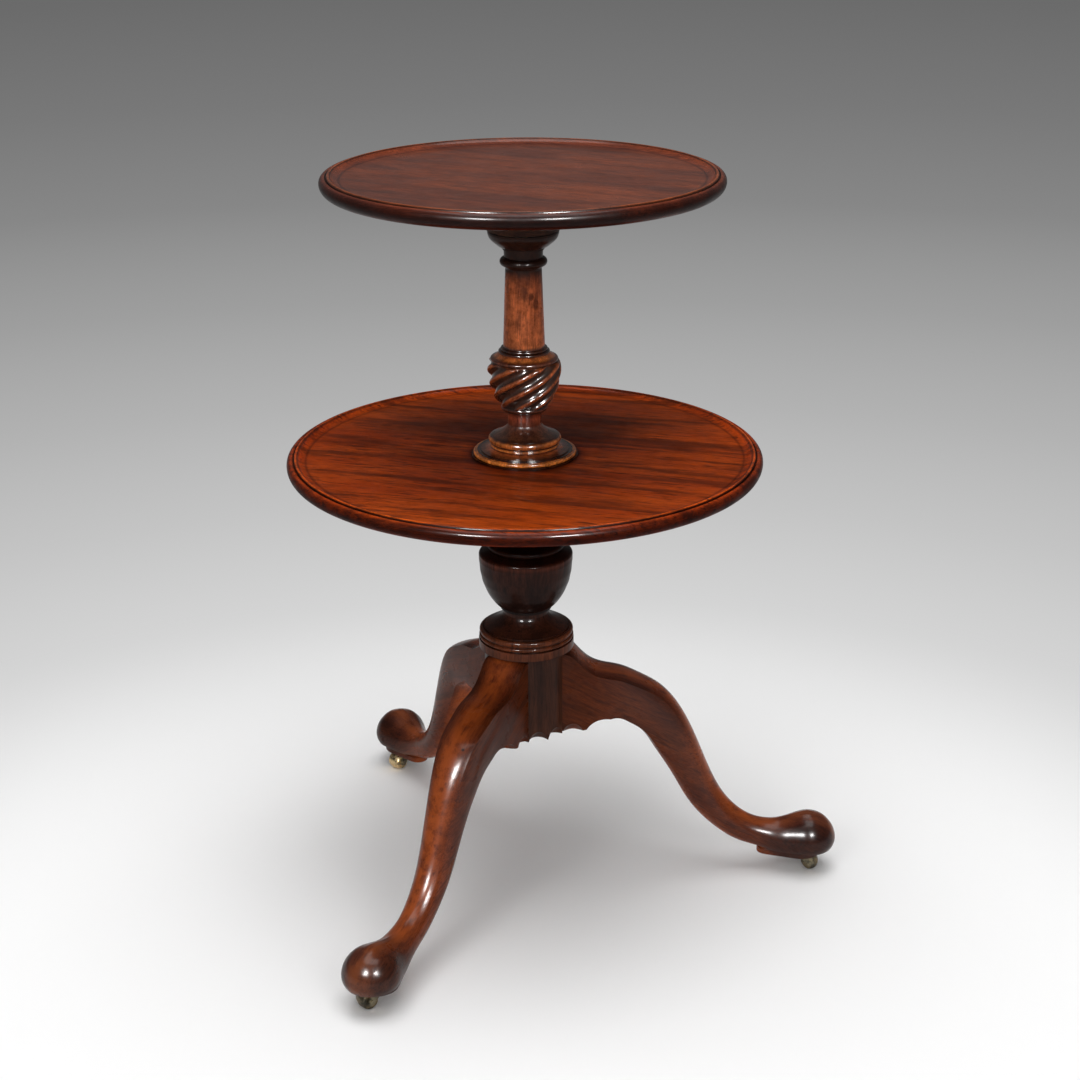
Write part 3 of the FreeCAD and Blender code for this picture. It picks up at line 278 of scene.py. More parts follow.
class StandFinish(bpy.types.PropertyGroup):
    """Polish of the pillar, the column and the legs"""
    leg_light: colour_property("Leg light grain", "Lightest grain of the legs", (0.38, 0.084, 0.0165))
    leg_middle: colour_property("Leg grain", "Main colour of the legs", (0.104, 0.0215, 0.0080))
    leg_dark: colour_property("Leg dark grain", "Dark streaks of the legs", (0.036, 0.0100, 0.0052))
    column_light: colour_property("Column light grain", "Lightest grain of the column",
                                  (0.66, 0.170, 0.048))
    column_middle: colour_property("Column grain", "Main colour of the column", (0.350, 0.083, 0.028))
    column_dark: colour_property("Column dark grain", "Dark streaks of the column",
                                 (0.055, 0.015, 0.007))
    pillar_light: colour_property("Pillar light grain", "Lightest grain of the pillar",
                                  (0.080, 0.024, 0.011))
    pillar_middle: colour_property("Pillar grain", "Main colour of the pillar",
                                   (0.036, 0.0135, 0.0080))
    pillar_dark: colour_property("Pillar dark grain", "Dark streaks of the pillar",
                                 (0.014, 0.006, 0.0045))
    leg_roughness: share_property("Leg roughness", "Roughness of the legs' polish", 0.30)
    column_roughness: share_property("Column roughness", "Roughness of the column's polish", 0.30)
    pillar_roughness: share_property("Pillar roughness", "Roughness of the pillar's polish", 0.36)


class BrassFinish(bpy.types.PropertyGroup):
    """Worn brass of the casters and iron under the block"""
    bright: colour_property("Bright brass", "Brass that the floor keeps rubbed bright",
                            (0.70, 0.53, 0.29))
    dull: colour_property("Dull brass", "Brass that has gone brown", (0.16, 0.12, 0.07))
    horn_bright: colour_property("Bright horn", "Lighter tarnish of the horns", (0.20, 0.17, 0.11))
    horn_dull: colour_property("Dull horn", "Dark tarnish of the horns", (0.045, 0.042, 0.034))
    iron: colour_property("Iron", "Oxidised iron of the strap and the screws", (0.05, 0.045, 0.04))
    rust: colour_property("Rust", "Brown patches on the iron", (0.03, 0.022, 0.018))


class StudioStage(bpy.types.PropertyGroup):
    """Camera, floor, backdrop and lamps"""
    camera_back: length_property("Camera distance", "Distance of the camera in front of the axis", 2.2995)
    camera_height: length_property("Camera height", "Height of the camera above the floor", 1.3255)
    camera_pitch: angle_property("Camera pitch", "How far the camera looks down", 20.855)
    camera_yaw: angle_property("Camera yaw", "How far the camera looks to its right", 0.430)
    camera_roll: angle_property("Camera roll", "How far the camera leans", -0.297)
    camera_lens: FloatProperty(name="Camera lens", description="Focal length over a 36 mm wide frame",
                               default=68.35, subtype="DISTANCE_CAMERA")
    key_power: power_property("Key power", "Power of each of the two broad front lamps", 13.0)
    glint_power: power_property("Glint power", "Power of each of the two lamps that only polish shows",
                                170.0)
    top_power: power_property("Top power", "Power of the broad lamp overhead", 232.0)
    air_strength: FloatProperty(name="Air strength", description="Strength of the light from all round",
                                default=0.27, min=0.0)
    floor: colour_property("Floor", "Colour of the studio floor", (0.93, 0.93, 0.93))
    distance: colour_property("Distance", "Grey of the backdrop far behind the table",
                              (0.127, 0.127, 0.127))


# Node trees
def add_node(tree, kind, place=(0, 0), **settings):
    node = tree.nodes.new(kind)
    node.location = place
    for name, value in settings.items():
        setattr(node, name, value)
    return node


def connect(tree, value, socket):
    """Links a socket to another one, or sets its value."""
    if isinstance(value, bpy.types.NodeSocket):
        tree.links.new(value, socket)
    else:
        socket.default_value = value


def feed(tree, target, **values):
    """Sets or links a node's inputs. Underscores stand for spaces in the socket names."""
    for name, value in values.items():
        connect(tree, value, target.inputs[name.replace("_", " ")])


def rgba(colour):
    return (colour[0], colour[1], colour[2], 1.0)


def new_group(name, inputs, outputs):
    group = bpy.data.node_groups.new(name, "ShaderNodeTree")
    for label, kind, default in inputs:
        socket = group.interface.new_socket(label, in_out="INPUT", socket_type=kind)
        if default is not None:
            socket.default_value = default
    for label, kind in outputs:
        group.interface.new_socket(label, in_out="OUTPUT", socket_type=kind)
    start = add_node(group, "NodeGroupInput", (-1400, 0))
    end = add_node(group, "NodeGroupOutput", (1100, 0))
    return group, start.outputs, end.inputs


def noise(tree, vector, scale, detail=2.0, roughness=0.5, place=(0, 0)):
    node = add_node(tree, "ShaderNodeTexNoise", place)
    feed(tree, node, Vector=vector, Scale=scale, Detail=detail, Roughness=roughness)
    return node.outputs["Fac"]


def stretched(tree, vector, scale, place=(0, 0)):
    node = add_node(tree, "ShaderNodeMapping", place)
    feed(tree, node, Vector=vector, Scale=scale)
    return node.outputs["Vector"]


def ramp(tree, value, low, high, place=(0, 0), low_out=0.0, high_out=1.0):
    node = add_node(tree, "ShaderNodeMapRange", place, interpolation_type="SMOOTHSTEP")
    feed(tree, node, Value=value, From_Min=low, From_Max=high, To_Min=low_out, To_Max=high_out)
    return node.outputs["Result"]


def colour_ramp(tree, factor, stops, place=(0, 0)):
    """Colours between stops, each given as its place from 0 to 1 and its colour."""
    node = add_node(tree, "ShaderNodeValToRGB", place)
    feed(tree, node, Fac=factor)
    elements = node.color_ramp.elements
    while len(elements) > 1:
        elements.remove(elements[-1])
    for index, (position, colour) in enumerate(stops):
        stop = elements[0] if index == 0 else elements.new(position)
        stop.position = position
        stop.color = rgba(colour)
    return node.outputs["Color"]


def blend_colours(tree, factor, first, second, place=(0, 0)):
    node = add_node(tree, "ShaderNodeMix", place, data_type="RGBA")
    for index, value in ((0, factor), (6, first), (7, second)):
        connect(tree, value, node.inputs[index])
    return node.outputs[2]


def reckon(tree, operation, first, second=None, place=(0, 0), clamp=False):
    node = add_node(tree, "ShaderNodeMath", place, operation=operation, use_clamp=clamp)
    connect(tree, first, node.inputs[0])
    if second is not None:
        connect(tree, second, node.inputs[1])
    return node.outputs[0]


def reckon_vector(tree, operation, first, second=None, place=(0, 0)):
    node = add_node(tree, "ShaderNodeVectorMath", place, operation=operation)
    connect(tree, first, node.inputs[0])
    if second is not None:
        connect(tree, second, node.inputs[3 if operation == "SCALE" else 1])
    return node.outputs["Value" if operation == "LENGTH" else "Vector"]


def split_vector(tree, vector, place=(0, 0)):
    node = add_node(tree, "ShaderNodeSeparateXYZ", place)
    tree.links.new(vector, node.inputs[0])
    return node.outputs["X"], node.outputs["Y"], node.outputs["Z"]


def distance_from_axis(tree, vector, place=(0, 0)):
    flat = reckon_vector(tree, "MULTIPLY", vector, (1.0, 1.0, 0.0), place)
    return reckon_vector(tree, "LENGTH", flat, None, (place[0] + 200, place[1]))


def seen_directly(tree, place=(0, 0)):
    """Is 1 for what the camera, polish or glass shows, and 0 for what only gives light."""
    x, y = place
    path = add_node(tree, "ShaderNodeLightPath", place).outputs
    seen = reckon(tree, "MAXIMUM", path["Is Camera Ray"], path["Is Glossy Ray"], (x + 200, y))
    return reckon(tree, "MAXIMUM", seen, path["Is Transmission Ray"], (x + 400, y))


def grain_group():
    """Mahogany whose grain runs along the first axis of the given vector."""
    if "Mahogany grain" in bpy.data.node_groups:
        return bpy.data.node_groups["Mahogany grain"]
    tree, given, result = new_group("Mahogany grain", [
        ("Vector", "NodeSocketVector", None),
        ("Light", "NodeSocketColor", (0.4, 0.1, 0.02, 1)),
        ("Middle", "NodeSocketColor", (0.2, 0.04, 0.01, 1)),
        ("Dark", "NodeSocketColor", (0.05, 0.01, 0.003, 1)),
        ("Streaks", "NodeSocketFloat", 1.0),
        ("Clouds", "NodeSocketFloat", 1.0),
    ], [("Color", "NodeSocketColor"), ("Pores", "NodeSocketFloat")])
    bend = add_node(tree, "ShaderNodeTexNoise", (-1000, -400))
    feed(tree, bend, Vector=stretched(tree, given["Vector"], (5.0, 9.0, 9.0), (-1180, -400)),
         Scale=1.0, Detail=2.0)
    shift = add_node(tree, "ShaderNodeVectorMath", (-820, -400), operation="MULTIPLY_ADD")
    tree.links.new(bend.outputs["Color"], shift.inputs[0])
    shift.inputs[1].default_value = (0.04, 0.022, 0.022)
    tree.links.new(given["Vector"], shift.inputs[2])
    place = shift.outputs["Vector"]

    clouds = stretched(tree, place, (4.0, 13.0, 13.0), (-640, 300))
    clouds = noise(tree, clouds, 1.0, 4.0, 0.6, (-460, 300))
    bands = stretched(tree, place, (3.6, 40.0, 40.0), (-640, 180))
    bands = noise(tree, bands, 1.0, 5.0, 0.62, (-460, 180))
    streaks = stretched(tree, place, (15.0, 185.0, 185.0), (-640, 60))
    streaks = noise(tree, streaks, 1.0, 4.0, 0.62, (-460, 60))
    lines = stretched(tree, place, (42.0, 540.0, 540.0), (-640, -180))
    lines = noise(tree, lines, 1.0, 3.0, 0.6, (-460, -180))
    pores = stretched(tree, place, (95.0, 1100.0, 1100.0), (-640, -420))
    pores = noise(tree, pores, 1.0, 1.0, 0.5, (-460, -420))

    cloud_tone = ramp(tree, clouds, 0.32, 0.70, (-280, 300))
    light_part = reckon(tree, "MULTIPLY", cloud_tone, given["Clouds"], (-60, 300), clamp=True)
    body = blend_colours(tree, light_part, given["Middle"], given["Light"], (120, 300))
    band_dark = ramp(tree, bands, 0.54, 0.36, (-280, 180), 0.0, 0.70)
    streak_dark = ramp(tree, streaks, 0.50, 0.33, (-280, 60), 0.0, 0.80)
    dark_part = reckon(tree, "MULTIPLY", reckon(tree, "MAXIMUM", band_dark, streak_dark, (-60, 60)),
                       given["Streaks"], (120, 60), clamp=True)
    streaked = blend_colours(tree, dark_part, body, given["Dark"], (300, 200))
    line_shade = ramp(tree, lines, 0.25, 0.75, (-280, -180), 0.66, 1.30)
    lined = reckon_vector(tree, "SCALE", streaked, line_shade, (480, 160))
    pore_mask = ramp(tree, pores, 0.60, 0.73, (-280, -420))
    pore_part = reckon(tree, "MULTIPLY", pore_mask, 0.5, (480, -40))
    tree.links.new(blend_colours(tree, pore_part, lined, given["Dark"], (680, 160)), result["Color"])
    tree.links.new(pore_mask, result["Pores"])
    return tree


def spot_group():
    """How near a point is to a spot: 1 inside it, fading to 0 over a ragged edge."""
    if "Spot" in bpy.data.node_groups:
        return bpy.data.node_groups["Spot"]
    tree, given, result = new_group("Spot", [
        ("Vector", "NodeSocketVector", None),
        ("Centre", "NodeSocketVector", None),
        ("Stretch", "NodeSocketVector", None),
        ("Ragged", "NodeSocketFloat", 0.3),
        ("Fade", "NodeSocketFloat", 0.5),
    ], [("Mask", "NodeSocketFloat")])
    offset = reckon_vector(tree, "SUBTRACT", given["Vector"], given["Centre"], (-900, 100))
    scaled = reckon_vector(tree, "DIVIDE", offset, given["Stretch"], (-700, 100))
    length = reckon_vector(tree, "LENGTH", scaled, None, (-500, 100))
    ragged = noise(tree, scaled, 1.7, 3.0, 0.6, (-500, -150))
    waver = reckon(tree, "MULTIPLY", reckon(tree, "SUBTRACT", ragged, 0.5, (-300, -150)),
                   given["Ragged"], (-120, -150))
    reach = reckon(tree, "ADD", length, waver, (60, 60))
    outer = reckon(tree, "ADD", 1.0, given["Fade"], (60, -200))
    tree.links.new(ramp(tree, reach, 1.0, outer, (300, 60), 1.0, 0.0), result["Mask"])
    return tree


def turned_place_group():
    """Distance from the column's axis and height, each a little uneven as on worn turnings."""
    if "Turned place" in bpy.data.node_groups:
        return bpy.data.node_groups["Turned place"]
    tree, given, result = new_group("Turned place", [
        ("Vector", "NodeSocketVector", None),
        ("Uneven", "NodeSocketFloat", 0.001),
    ], [("Radius", "NodeSocketFloat"), ("Height", "NodeSocketFloat")])
    radius = distance_from_axis(tree, given["Vector"], (-1000, 200))
    _, _, height = split_vector(tree, given["Vector"], (-800, 0))
    patches = noise(tree, given["Vector"], 55.0, 3.0, 0.6, (-1000, -250))
    waver = reckon(tree, "SUBTRACT", patches, 0.5, (-800, -250))
    push = reckon(tree, "MULTIPLY", waver, given["Uneven"], (-600, -250))
    tree.links.new(reckon(tree, "ADD", radius, push, (-300, 200)), result["Radius"])
    tree.links.new(reckon(tree, "ADD", height, push, (-300, 0)), result["Height"])
    return tree


# Finishes
ALONG_Z = Matrix.Rotation(math.radians(90), 4, "Y")


def turned_grain(degrees, tip=0.0):
    """Turn that brings a level grain direction onto the first axis, after tipping it down."""
    return Matrix.Rotation(math.radians(-tip), 4, "Y") @ Matrix.Rotation(math.radians(-degrees), 4, "Z")


def new_material(name):
    material = bpy.data.materials.new(name)
    material.use_nodes = True
    tree = material.node_tree
    shader = tree.nodes["Principled BSDF"]
    shader.location = (1500, 0)
    tree.nodes["Material Output"].location = (1800, 0)
    return material, tree, shader


def object_place(tree, place=(-1100, 0), turn=None):
    """Object coordinates, turned so that the wood's grain runs along the first axis."""
    source = add_node(tree, "ShaderNodeTexCoord", (place[0] - 220, place[1]))
    if turn is None:
        return source.outputs["Object"]
    mapping = add_node(tree, "ShaderNodeMapping", place)
    feed(tree, mapping, Vector=source.outputs["Object"], Rotation=turn.to_euler("XYZ"))
    return mapping.outputs["Vector"]


def wood_material(name, turn, colours, roughness, streaks=1.0, clouds=1.0, fine=1.0, gloss=0.05,
                  coat=0.2, coat_roughness=0.12, shift=(0, 0, 0)):
    """Polished mahogany of a light, a middle and a dark colour. Returns its material, tree and shader."""
    material, tree, shader = new_material(name)
    moved = reckon_vector(tree, "ADD", object_place(tree, turn=turn), shift, (-980, 0))
    moved = reckon_vector(tree, "SCALE", moved, fine, (-820, 0))
    light, middle, dark = (rgba(colour) for colour in colours)
    grain = add_node(tree, "ShaderNodeGroup", (-640, 0), node_tree=grain_group())
    feed(tree, grain, Vector=moved, Light=light, Middle=middle, Dark=dark, Streaks=streaks, Clouds=clouds)
    haze = noise(tree, object_place(tree, (-1100, -400)), 26.0, 4.0, 0.6, (-640, -300))
    rough = ramp(tree, haze, 0.3, 0.75, (-400, -300), roughness * 0.8, roughness * 1.25)
    ripple = stretched(tree, moved, (20.0, 70.0, 70.0), (-640, -560))
    ripple = noise(tree, ripple, 1.0, 2.0, 0.5, (-400, -560))
    height = reckon(tree, "SUBTRACT", reckon(tree, "MULTIPLY", ripple, 0.5, (-200, -560)),
                    reckon(tree, "MULTIPLY", grain.outputs["Pores"], 0.25, (-200, -700)), (0, -600))
    bump = add_node(tree, "ShaderNodeBump", (1200, -300))
    feed(tree, bump, Height=height, Strength=0.2, Distance=0.0004)
    feed(tree, shader, Base_Color=grain.outputs["Color"], Roughness=rough,
         Normal=bump.outputs["Normal"], Specular_IOR_Level=gloss, Coat_Weight=coat,
         Coat_Roughness=coat_roughness, Coat_IOR=1.5)
    return material, tree, shader


def base_colour(shader):
    return shader.inputs["Base Color"].links[0].from_socket


def darken_at(tree, shader, spots, amount, colour=STAIN_AND_SHADOW_COLOUR):
    """Darkens the wood at each spot: stains, knots and a plug, and on the lower tier painted shadows."""
    source = base_colour(shader)
    place = object_place(tree, (-1100, 900))
    x = -600
    for centre, stretch, ragged, fade in spots:
        spot = add_node(tree, "ShaderNodeGroup", (x, 800), node_tree=spot_group())
        feed(tree, spot, Vector=place, Centre=centre, Stretch=stretch, Ragged=ragged, Fade=fade)
        part = reckon(tree, "MULTIPLY", spot.outputs["Mask"], amount, (x + 180, 800))
        source = blend_colours(tree, part, source, rgba(colour), (x + 180, 620))
        x += 380
    tree.links.new(source, shader.inputs["Base Color"])


def turned_place(tree, uneven, place=(-1100, 1400)):
    node = add_node(tree, "ShaderNodeGroup", place, node_tree=turned_place_group())
    feed(tree, node, Vector=object_place(tree, (place[0] - 200, place[1])), Uneven=uneven)
    return node.outputs["Radius"], node.outputs["Height"]


def tint_bands(tree, shader, value, bands, place=(-400, 1400)):
    """Multiplies the wood's colour by bands of tint, given as millimetres and a tint of up to 2."""
    x, y = place
    first, last = bands[0][0], bands[-1][0]
    span = add_node(tree, "ShaderNodeMapRange", place)
    feed(tree, span, Value=value, From_Min=first * MM, From_Max=last * MM)
    stops = [((size - first) / (last - first), [part / 2 for part in tint]) for size, tint in bands]
    half = colour_ramp(tree, span.outputs["Result"], stops, (x + 200, y))
    whole = reckon_vector(tree, "SCALE", half, 2.0, (x + 500, y))
    tinted = reckon_vector(tree, "MULTIPLY", base_colour(shader), whole, (x + 700, y))
    tree.links.new(tinted, shader.inputs["Base Color"])


def mottle(tree, shader, scale, low, high):
    """Patches of lighter and darker polish."""
    patches = noise(tree, object_place(tree, (-1100, 2600)), scale, 5.0, 0.68, (-900, 2600))
    tone = ramp(tree, patches, 0.34, 0.66, (-700, 2600), low, high)
    toned = reckon_vector(tree, "SCALE", base_colour(shader), tone, (-500, 2600))
    tree.links.new(toned, shader.inputs["Base Color"])


def finish_node(name, material):
    """Gives a CAD node its finish."""
    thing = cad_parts[name]
    if not thing.material_slots:
        thing.data.materials.append(material)
    for slot in thing.material_slots:
        slot.material = material


# Turned boards
def arc_places(start, middle, end, steps):
    """Places along the arc through three places, without the first one."""
    (ax, ay), (bx, by), (cx, cy) = start, middle, end
    twice = 2 * (ax * (by - cy) + bx * (cy - ay) + cx * (ay - by))
    a, b, c = ax * ax + ay * ay, bx * bx + by * by, cx * cx + cy * cy
    x = (a * (by - cy) + b * (cy - ay) + c * (ay - by)) / twice
    y = (a * (cx - bx) + b * (ax - cx) + c * (bx - ax)) / twice
    reach = math.hypot(ax - x, ay - y)
    first = math.atan2(ay - y, ax - x)
    turn = 2 * math.pi
    sweep = (math.atan2(cy - y, cx - x) - first) % turn
    halfway = (math.atan2(by - y, bx - x) - first) % turn
    if halfway > sweep:
        sweep -= turn
    angles = [first + sweep * index / steps for index in range(1, steps + 1)]
    return [(x + reach * math.cos(angle), y + reach * math.sin(angle)) for angle in angles]


def turned_board(name, outline, steps):
    """Board turned round the column's axis, made ring by ring from its outline of radii and heights."""
    bpy.ops.object.select_all(action="DESELECT")
    radius, height = outline[0]
    bpy.ops.mesh.primitive_circle_add(vertices=steps, radius=radius, fill_type="NGON",
                                      location=(0, 0, height))
    board = bpy.context.object
    board.name = name
    bpy.ops.object.transform_apply(location=True, rotation=False, scale=False)
    bpy.ops.object.mode_set(mode="EDIT")
    bpy.ops.mesh.select_all(action="SELECT")
    bpy.ops.mesh.delete(type="ONLY_FACE")
    bpy.ops.mesh.select_all(action="SELECT")
    for next_radius, next_height in outline[1:]:
        bpy.ops.mesh.extrude_edges_move(TRANSFORM_OT_translate={"value": (0, 0, next_height - height)})
        share = next_radius / radius
        bpy.ops.transform.resize(value=(share, share, 1), center_override=(0, 0, next_height))
        radius, height = next_radius, next_height
    bpy.ops.mesh.select_all(action="SELECT")
    bpy.ops.mesh.remove_doubles(threshold=0.00001)
    bpy.ops.mesh.select_all(action="DESELECT")
    bpy.ops.mesh.select_non_manifold(extend=False)
    bpy.ops.mesh.fill_holes(sides=0)
    bpy.ops.mesh.select_all(action="SELECT")
    bpy.ops.mesh.normals_make_consistent(inside=False)
    bpy.ops.object.mode_set(mode="OBJECT")
    bpy.ops.object.shade_smooth_by_angle(angle=math.radians(SMOOTH_ANGLE))
    return board


def tier_outline(look, edge, underside, bore):
    """Half section of a dished tier with a moulded rim, from its underside round to its field."""
    field = underside + look.board
    belly = field - look.belly_drop
    nose_radius = belly - underside
    slope = math.sqrt(0.5) * nose_radius
    width = look.rim_width

    def rim(places):
        return [(edge - inwards * width, field + upwards * look.rim_rise) for inwards, upwards in places]

    outline = [(bore, underside), (edge - 3 * width, underside), (edge - nose_radius, underside)]
    outline += arc_places(outline[-1], (edge - nose_radius + slope, belly - slope), (edge, belly),
                          BULLNOSE_STEPS)
    outline += arc_places(outline[-1], *rim(RIM_NOSE), BEAD_STEPS)
    outline += rim(RIM_GROOVE)
    outline += arc_places(outline[-1], *rim(RIM_CREST), BEAD_STEPS)
    outline += rim(RIM_STEP)
    outline += arc_places(outline[-1], *rim(RIM_COVE), COVE_STEPS)
    outline += [(edge - 1.6 * width, field), (edge - 4 * width, field), (bore, field)]
    return outline


def rim_bands(edge, foot):
    """Tints of a tier from its middle out to its edge. A foot that stands on it has painted shade round
    it.
    """
    bands = [(0.0, DARK if foot else PLAIN)]
    if foot:
        bands += [(foot + out, tint) for out, tint in FOOT_SHADE]
    return bands + [(edge - inset, tint) for inset, tint in RIM_TINTS]


def underside_bands(underside, board):
    """Tints of a tier by its height: painted shade that darkens the underside, fading out up to its
    widest place.
    """
    belly = underside + BELLY_SHARE * board
    return [(underside - 1, (0.30, 0.22, 0.22)), (underside + 1.5, (0.30, 0.22, 0.22)),
            (belly - 2.0, (0.42, 0.38, 0.42)), (belly + 2.0, PLAIN), (belly + 20.0, PLAIN)]


class DUMBWAITER_OT_tiers(bpy.types.Operator):
    """Turn the two tiers and finish them and their bearing blocks"""
    bl_idname = "dumbwaiter.tiers"
    bl_label = "Tiers"

    def execute(self, context):
        look = context.scene.dumbwaiter_tiers
        colours = (look.lower_light, look.lower_middle, look.lower_dark)
        lower = wood_material("lower_tier_polish", turned_grain(LOWER_TIER_GRAIN), colours,
                              look.lower_roughness, clouds=0.8, fine=1.15, gloss=0.03)
        colours = (look.top_light, look.top_middle, look.top_dark)
        top = wood_material("top_tier_polish", turned_grain(TOP_TIER_GRAIN), colours,
                            look.top_roughness, streaks=0.6, clouds=0.9, gloss=0.08,
                            coat_roughness=0.14, shift=(0.7, 0.3, 0.0))
        self.tier(look, "lower_tier", lower, LOWER_FIELD_COAT, LOWER_TIER_BORE, COLUMN_FOOT)
        self.tier(look, "top_tier", top, TOP_FIELD_COAT, TOP_TIER_MIDDLE, None)
        _, tree, shader = lower
        # The lower tier gets an old stain, painted shadows of the column and a painted shadow of the top
        # tier
        darken_at(tree, shader, TIER_STAINS_AND_SHADOWS, amount=0.42)
        darken_at(tree, shader, TIER_PAINTED_SHADOW, amount=0.40, colour=TIER_SHADOW_COLOUR)
        colours = ((0.05, 0.018, 0.009), (0.028, 0.010, 0.006), (0.010, 0.004, 0.003))
        block, _, _ = wood_material("bearing_block_wood", turned_grain(BLOCK_GRAIN), colours, 0.42,
                                    gloss=0.05, coat=0.06, shift=(1.3, 0.2, 0.0))
        finish_node("lower_tier_block", block)
        finish_node("top_tier_block", block)
        return {"FINISHED"}

    @staticmethod
    def tier(look, node, finish, field_coat, bore, foot):
        low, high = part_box(node)
        material, tree, shader = finish
        edge, width, thick = high.x, look.rim_width, look.board
        board = turned_board(node + "_turned", tier_outline(look, edge, low.z, bore), look.turn_steps)
        board.data.materials.append(material)
        radius, height = turned_place(tree, uneven=0.0006)
        tint_bands(tree, shader, radius, rim_bands(edge / MM, foot))
        tint_bands(tree, shader, height, underside_bands(low.z / MM, thick / MM), (-400, 1000))
        inner, outer = (edge - share * width for share in RIM_POLISH)
        coat = ramp(tree, radius, inner, outer, (-400, 1900), field_coat, RIM_COAT)
        bottom, top = (low.z + share * thick for share in FIELD_POLISH)
        above = ramp(tree, height, bottom, top, (-400, 2100))
        polish = reckon(tree, "MULTIPLY", coat, above, (-200, 2000))
        tree.links.new(polish, shader.inputs["Coat Weight"])
        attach(board, node + "_turning")
        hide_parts(node)


class DUMBWAITER_OT_column(bpy.types.Operator):
    """Finish the column with its wrythen vase and the pillar below it"""
    bl_idname = "dumbwaiter.column"
    bl_label = "Column and pillar"

    def execute(self, context):
        look = context.scene.dumbwaiter_stand
        colours = (look.column_light, look.column_middle, look.column_dark)
        column, tree, shader = wood_material("column_polish", ALONG_Z, colours, look.column_roughness,
                                             streaks=0.55, clouds=0.9, gloss=0.06, coat_roughness=0.14)
        _, height = turned_place(tree, uneven=0.0008)
        mottle(tree, shader, scale=120.0, low=0.62, high=1.25)
        darken_at(tree, shader, COLUMN_KNOTS, amount=0.6)
        tint_bands(tree, shader, height, COLUMN_TINTS)
        self.hollows_and_capital_shadow(tree, shader)
        finish_node("upper_column", column)
        colours = (look.pillar_light, look.pillar_middle, look.pillar_dark)
        pillar, tree, shader = wood_material("pillar_polish", ALONG_Z, colours, look.pillar_roughness,
                                             streaks=0.8, gloss=0.03, coat=0.11, coat_roughness=0.09,
                                             shift=(0.4, 0.1, 0.2))
        _, height = turned_place(tree, uneven=0.0008)
        tint_bands(tree, shader, height, PILLAR_TINTS)
        finish_node("lower_pillar", pillar)
        return {"FINISHED"}

    @staticmethod
    def hollows_and_capital_shadow(tree, shader):
        """Greys the hollows between the vase's winding lobes with old wax and dust, painted shade and a
        painted grey sheen, paints shadow under the capital where the top tier shades it, and thins the
        polish on the foot's lowest ring and from the stem up.
        """
        x, y, z = split_vector(tree, object_place(tree, (-1000, 2200)), (-1000, 2200))
        angle = reckon(tree, "ARCTAN2", y, x, (-800, 2300))
        climb = reckon(tree, "SUBTRACT", z, VASE_FOOT_Z, (-800, 2100))
        rise = reckon(tree, "DIVIDE", climb, VASE_H, (-600, 2100))
        wind = reckon(tree, "MULTIPLY", rise, math.radians(VASE_TWIST), (-500, 2100))
        hollow = reckon(tree, "ADD", wind, math.radians(VASE_START), (-400, 2100))
        past_hollow = reckon(tree, "SUBTRACT", angle, hollow, (-200, 2200))
        phase = reckon(tree, "MULTIPLY", past_hollow, VASE_LOBES, (0, 2200))
        wave = reckon(tree, "COSINE", phase, None, (200, 2200))
        depth = ramp(tree, wave, -0.86, -0.15, (400, 2200), 0.0, 0.92)
        low_end = ramp(tree, rise, -0.02, 0.04, (200, 2000))
        high_end = ramp(tree, rise, 1.0, 0.96, (200, 1900))
        within = reckon(tree, "MULTIPLY", low_end, high_end, (400, 1950))
        part = reckon(tree, "MULTIPLY", depth, within, (600, 2100))
        # Hollows between the lobes: old wax and dust, with painted shade and a painted grey sheen
        source = blend_colours(tree, part, base_colour(shader), rgba(HOLLOW_DUST_AND_SHEEN_COLOUR), (800, 2000))
        # Painted shadow under the capital, where the top tier shades it
        shade = ramp(tree, z, *CAPITAL_PAINTED_SHADOW, (600, 1800), 0.0, 0.96)
        source = blend_colours(tree, shade, source, rgba(CAPITAL_SHADOW_COLOUR), (1000, 1900))
        tree.links.new(source, shader.inputs["Base Color"])
        foot = ramp(tree, z, *FOOT_POLISH, (600, 1600), 0.25, 0.80)
        above = ramp(tree, z, *STEM_POLISH, (600, 1500), 1.0, 0.12)
        polish = reckon(tree, "MULTIPLY", foot, above, (800, 1550))
        tree.links.new(polish, shader.inputs["Coat Weight"])


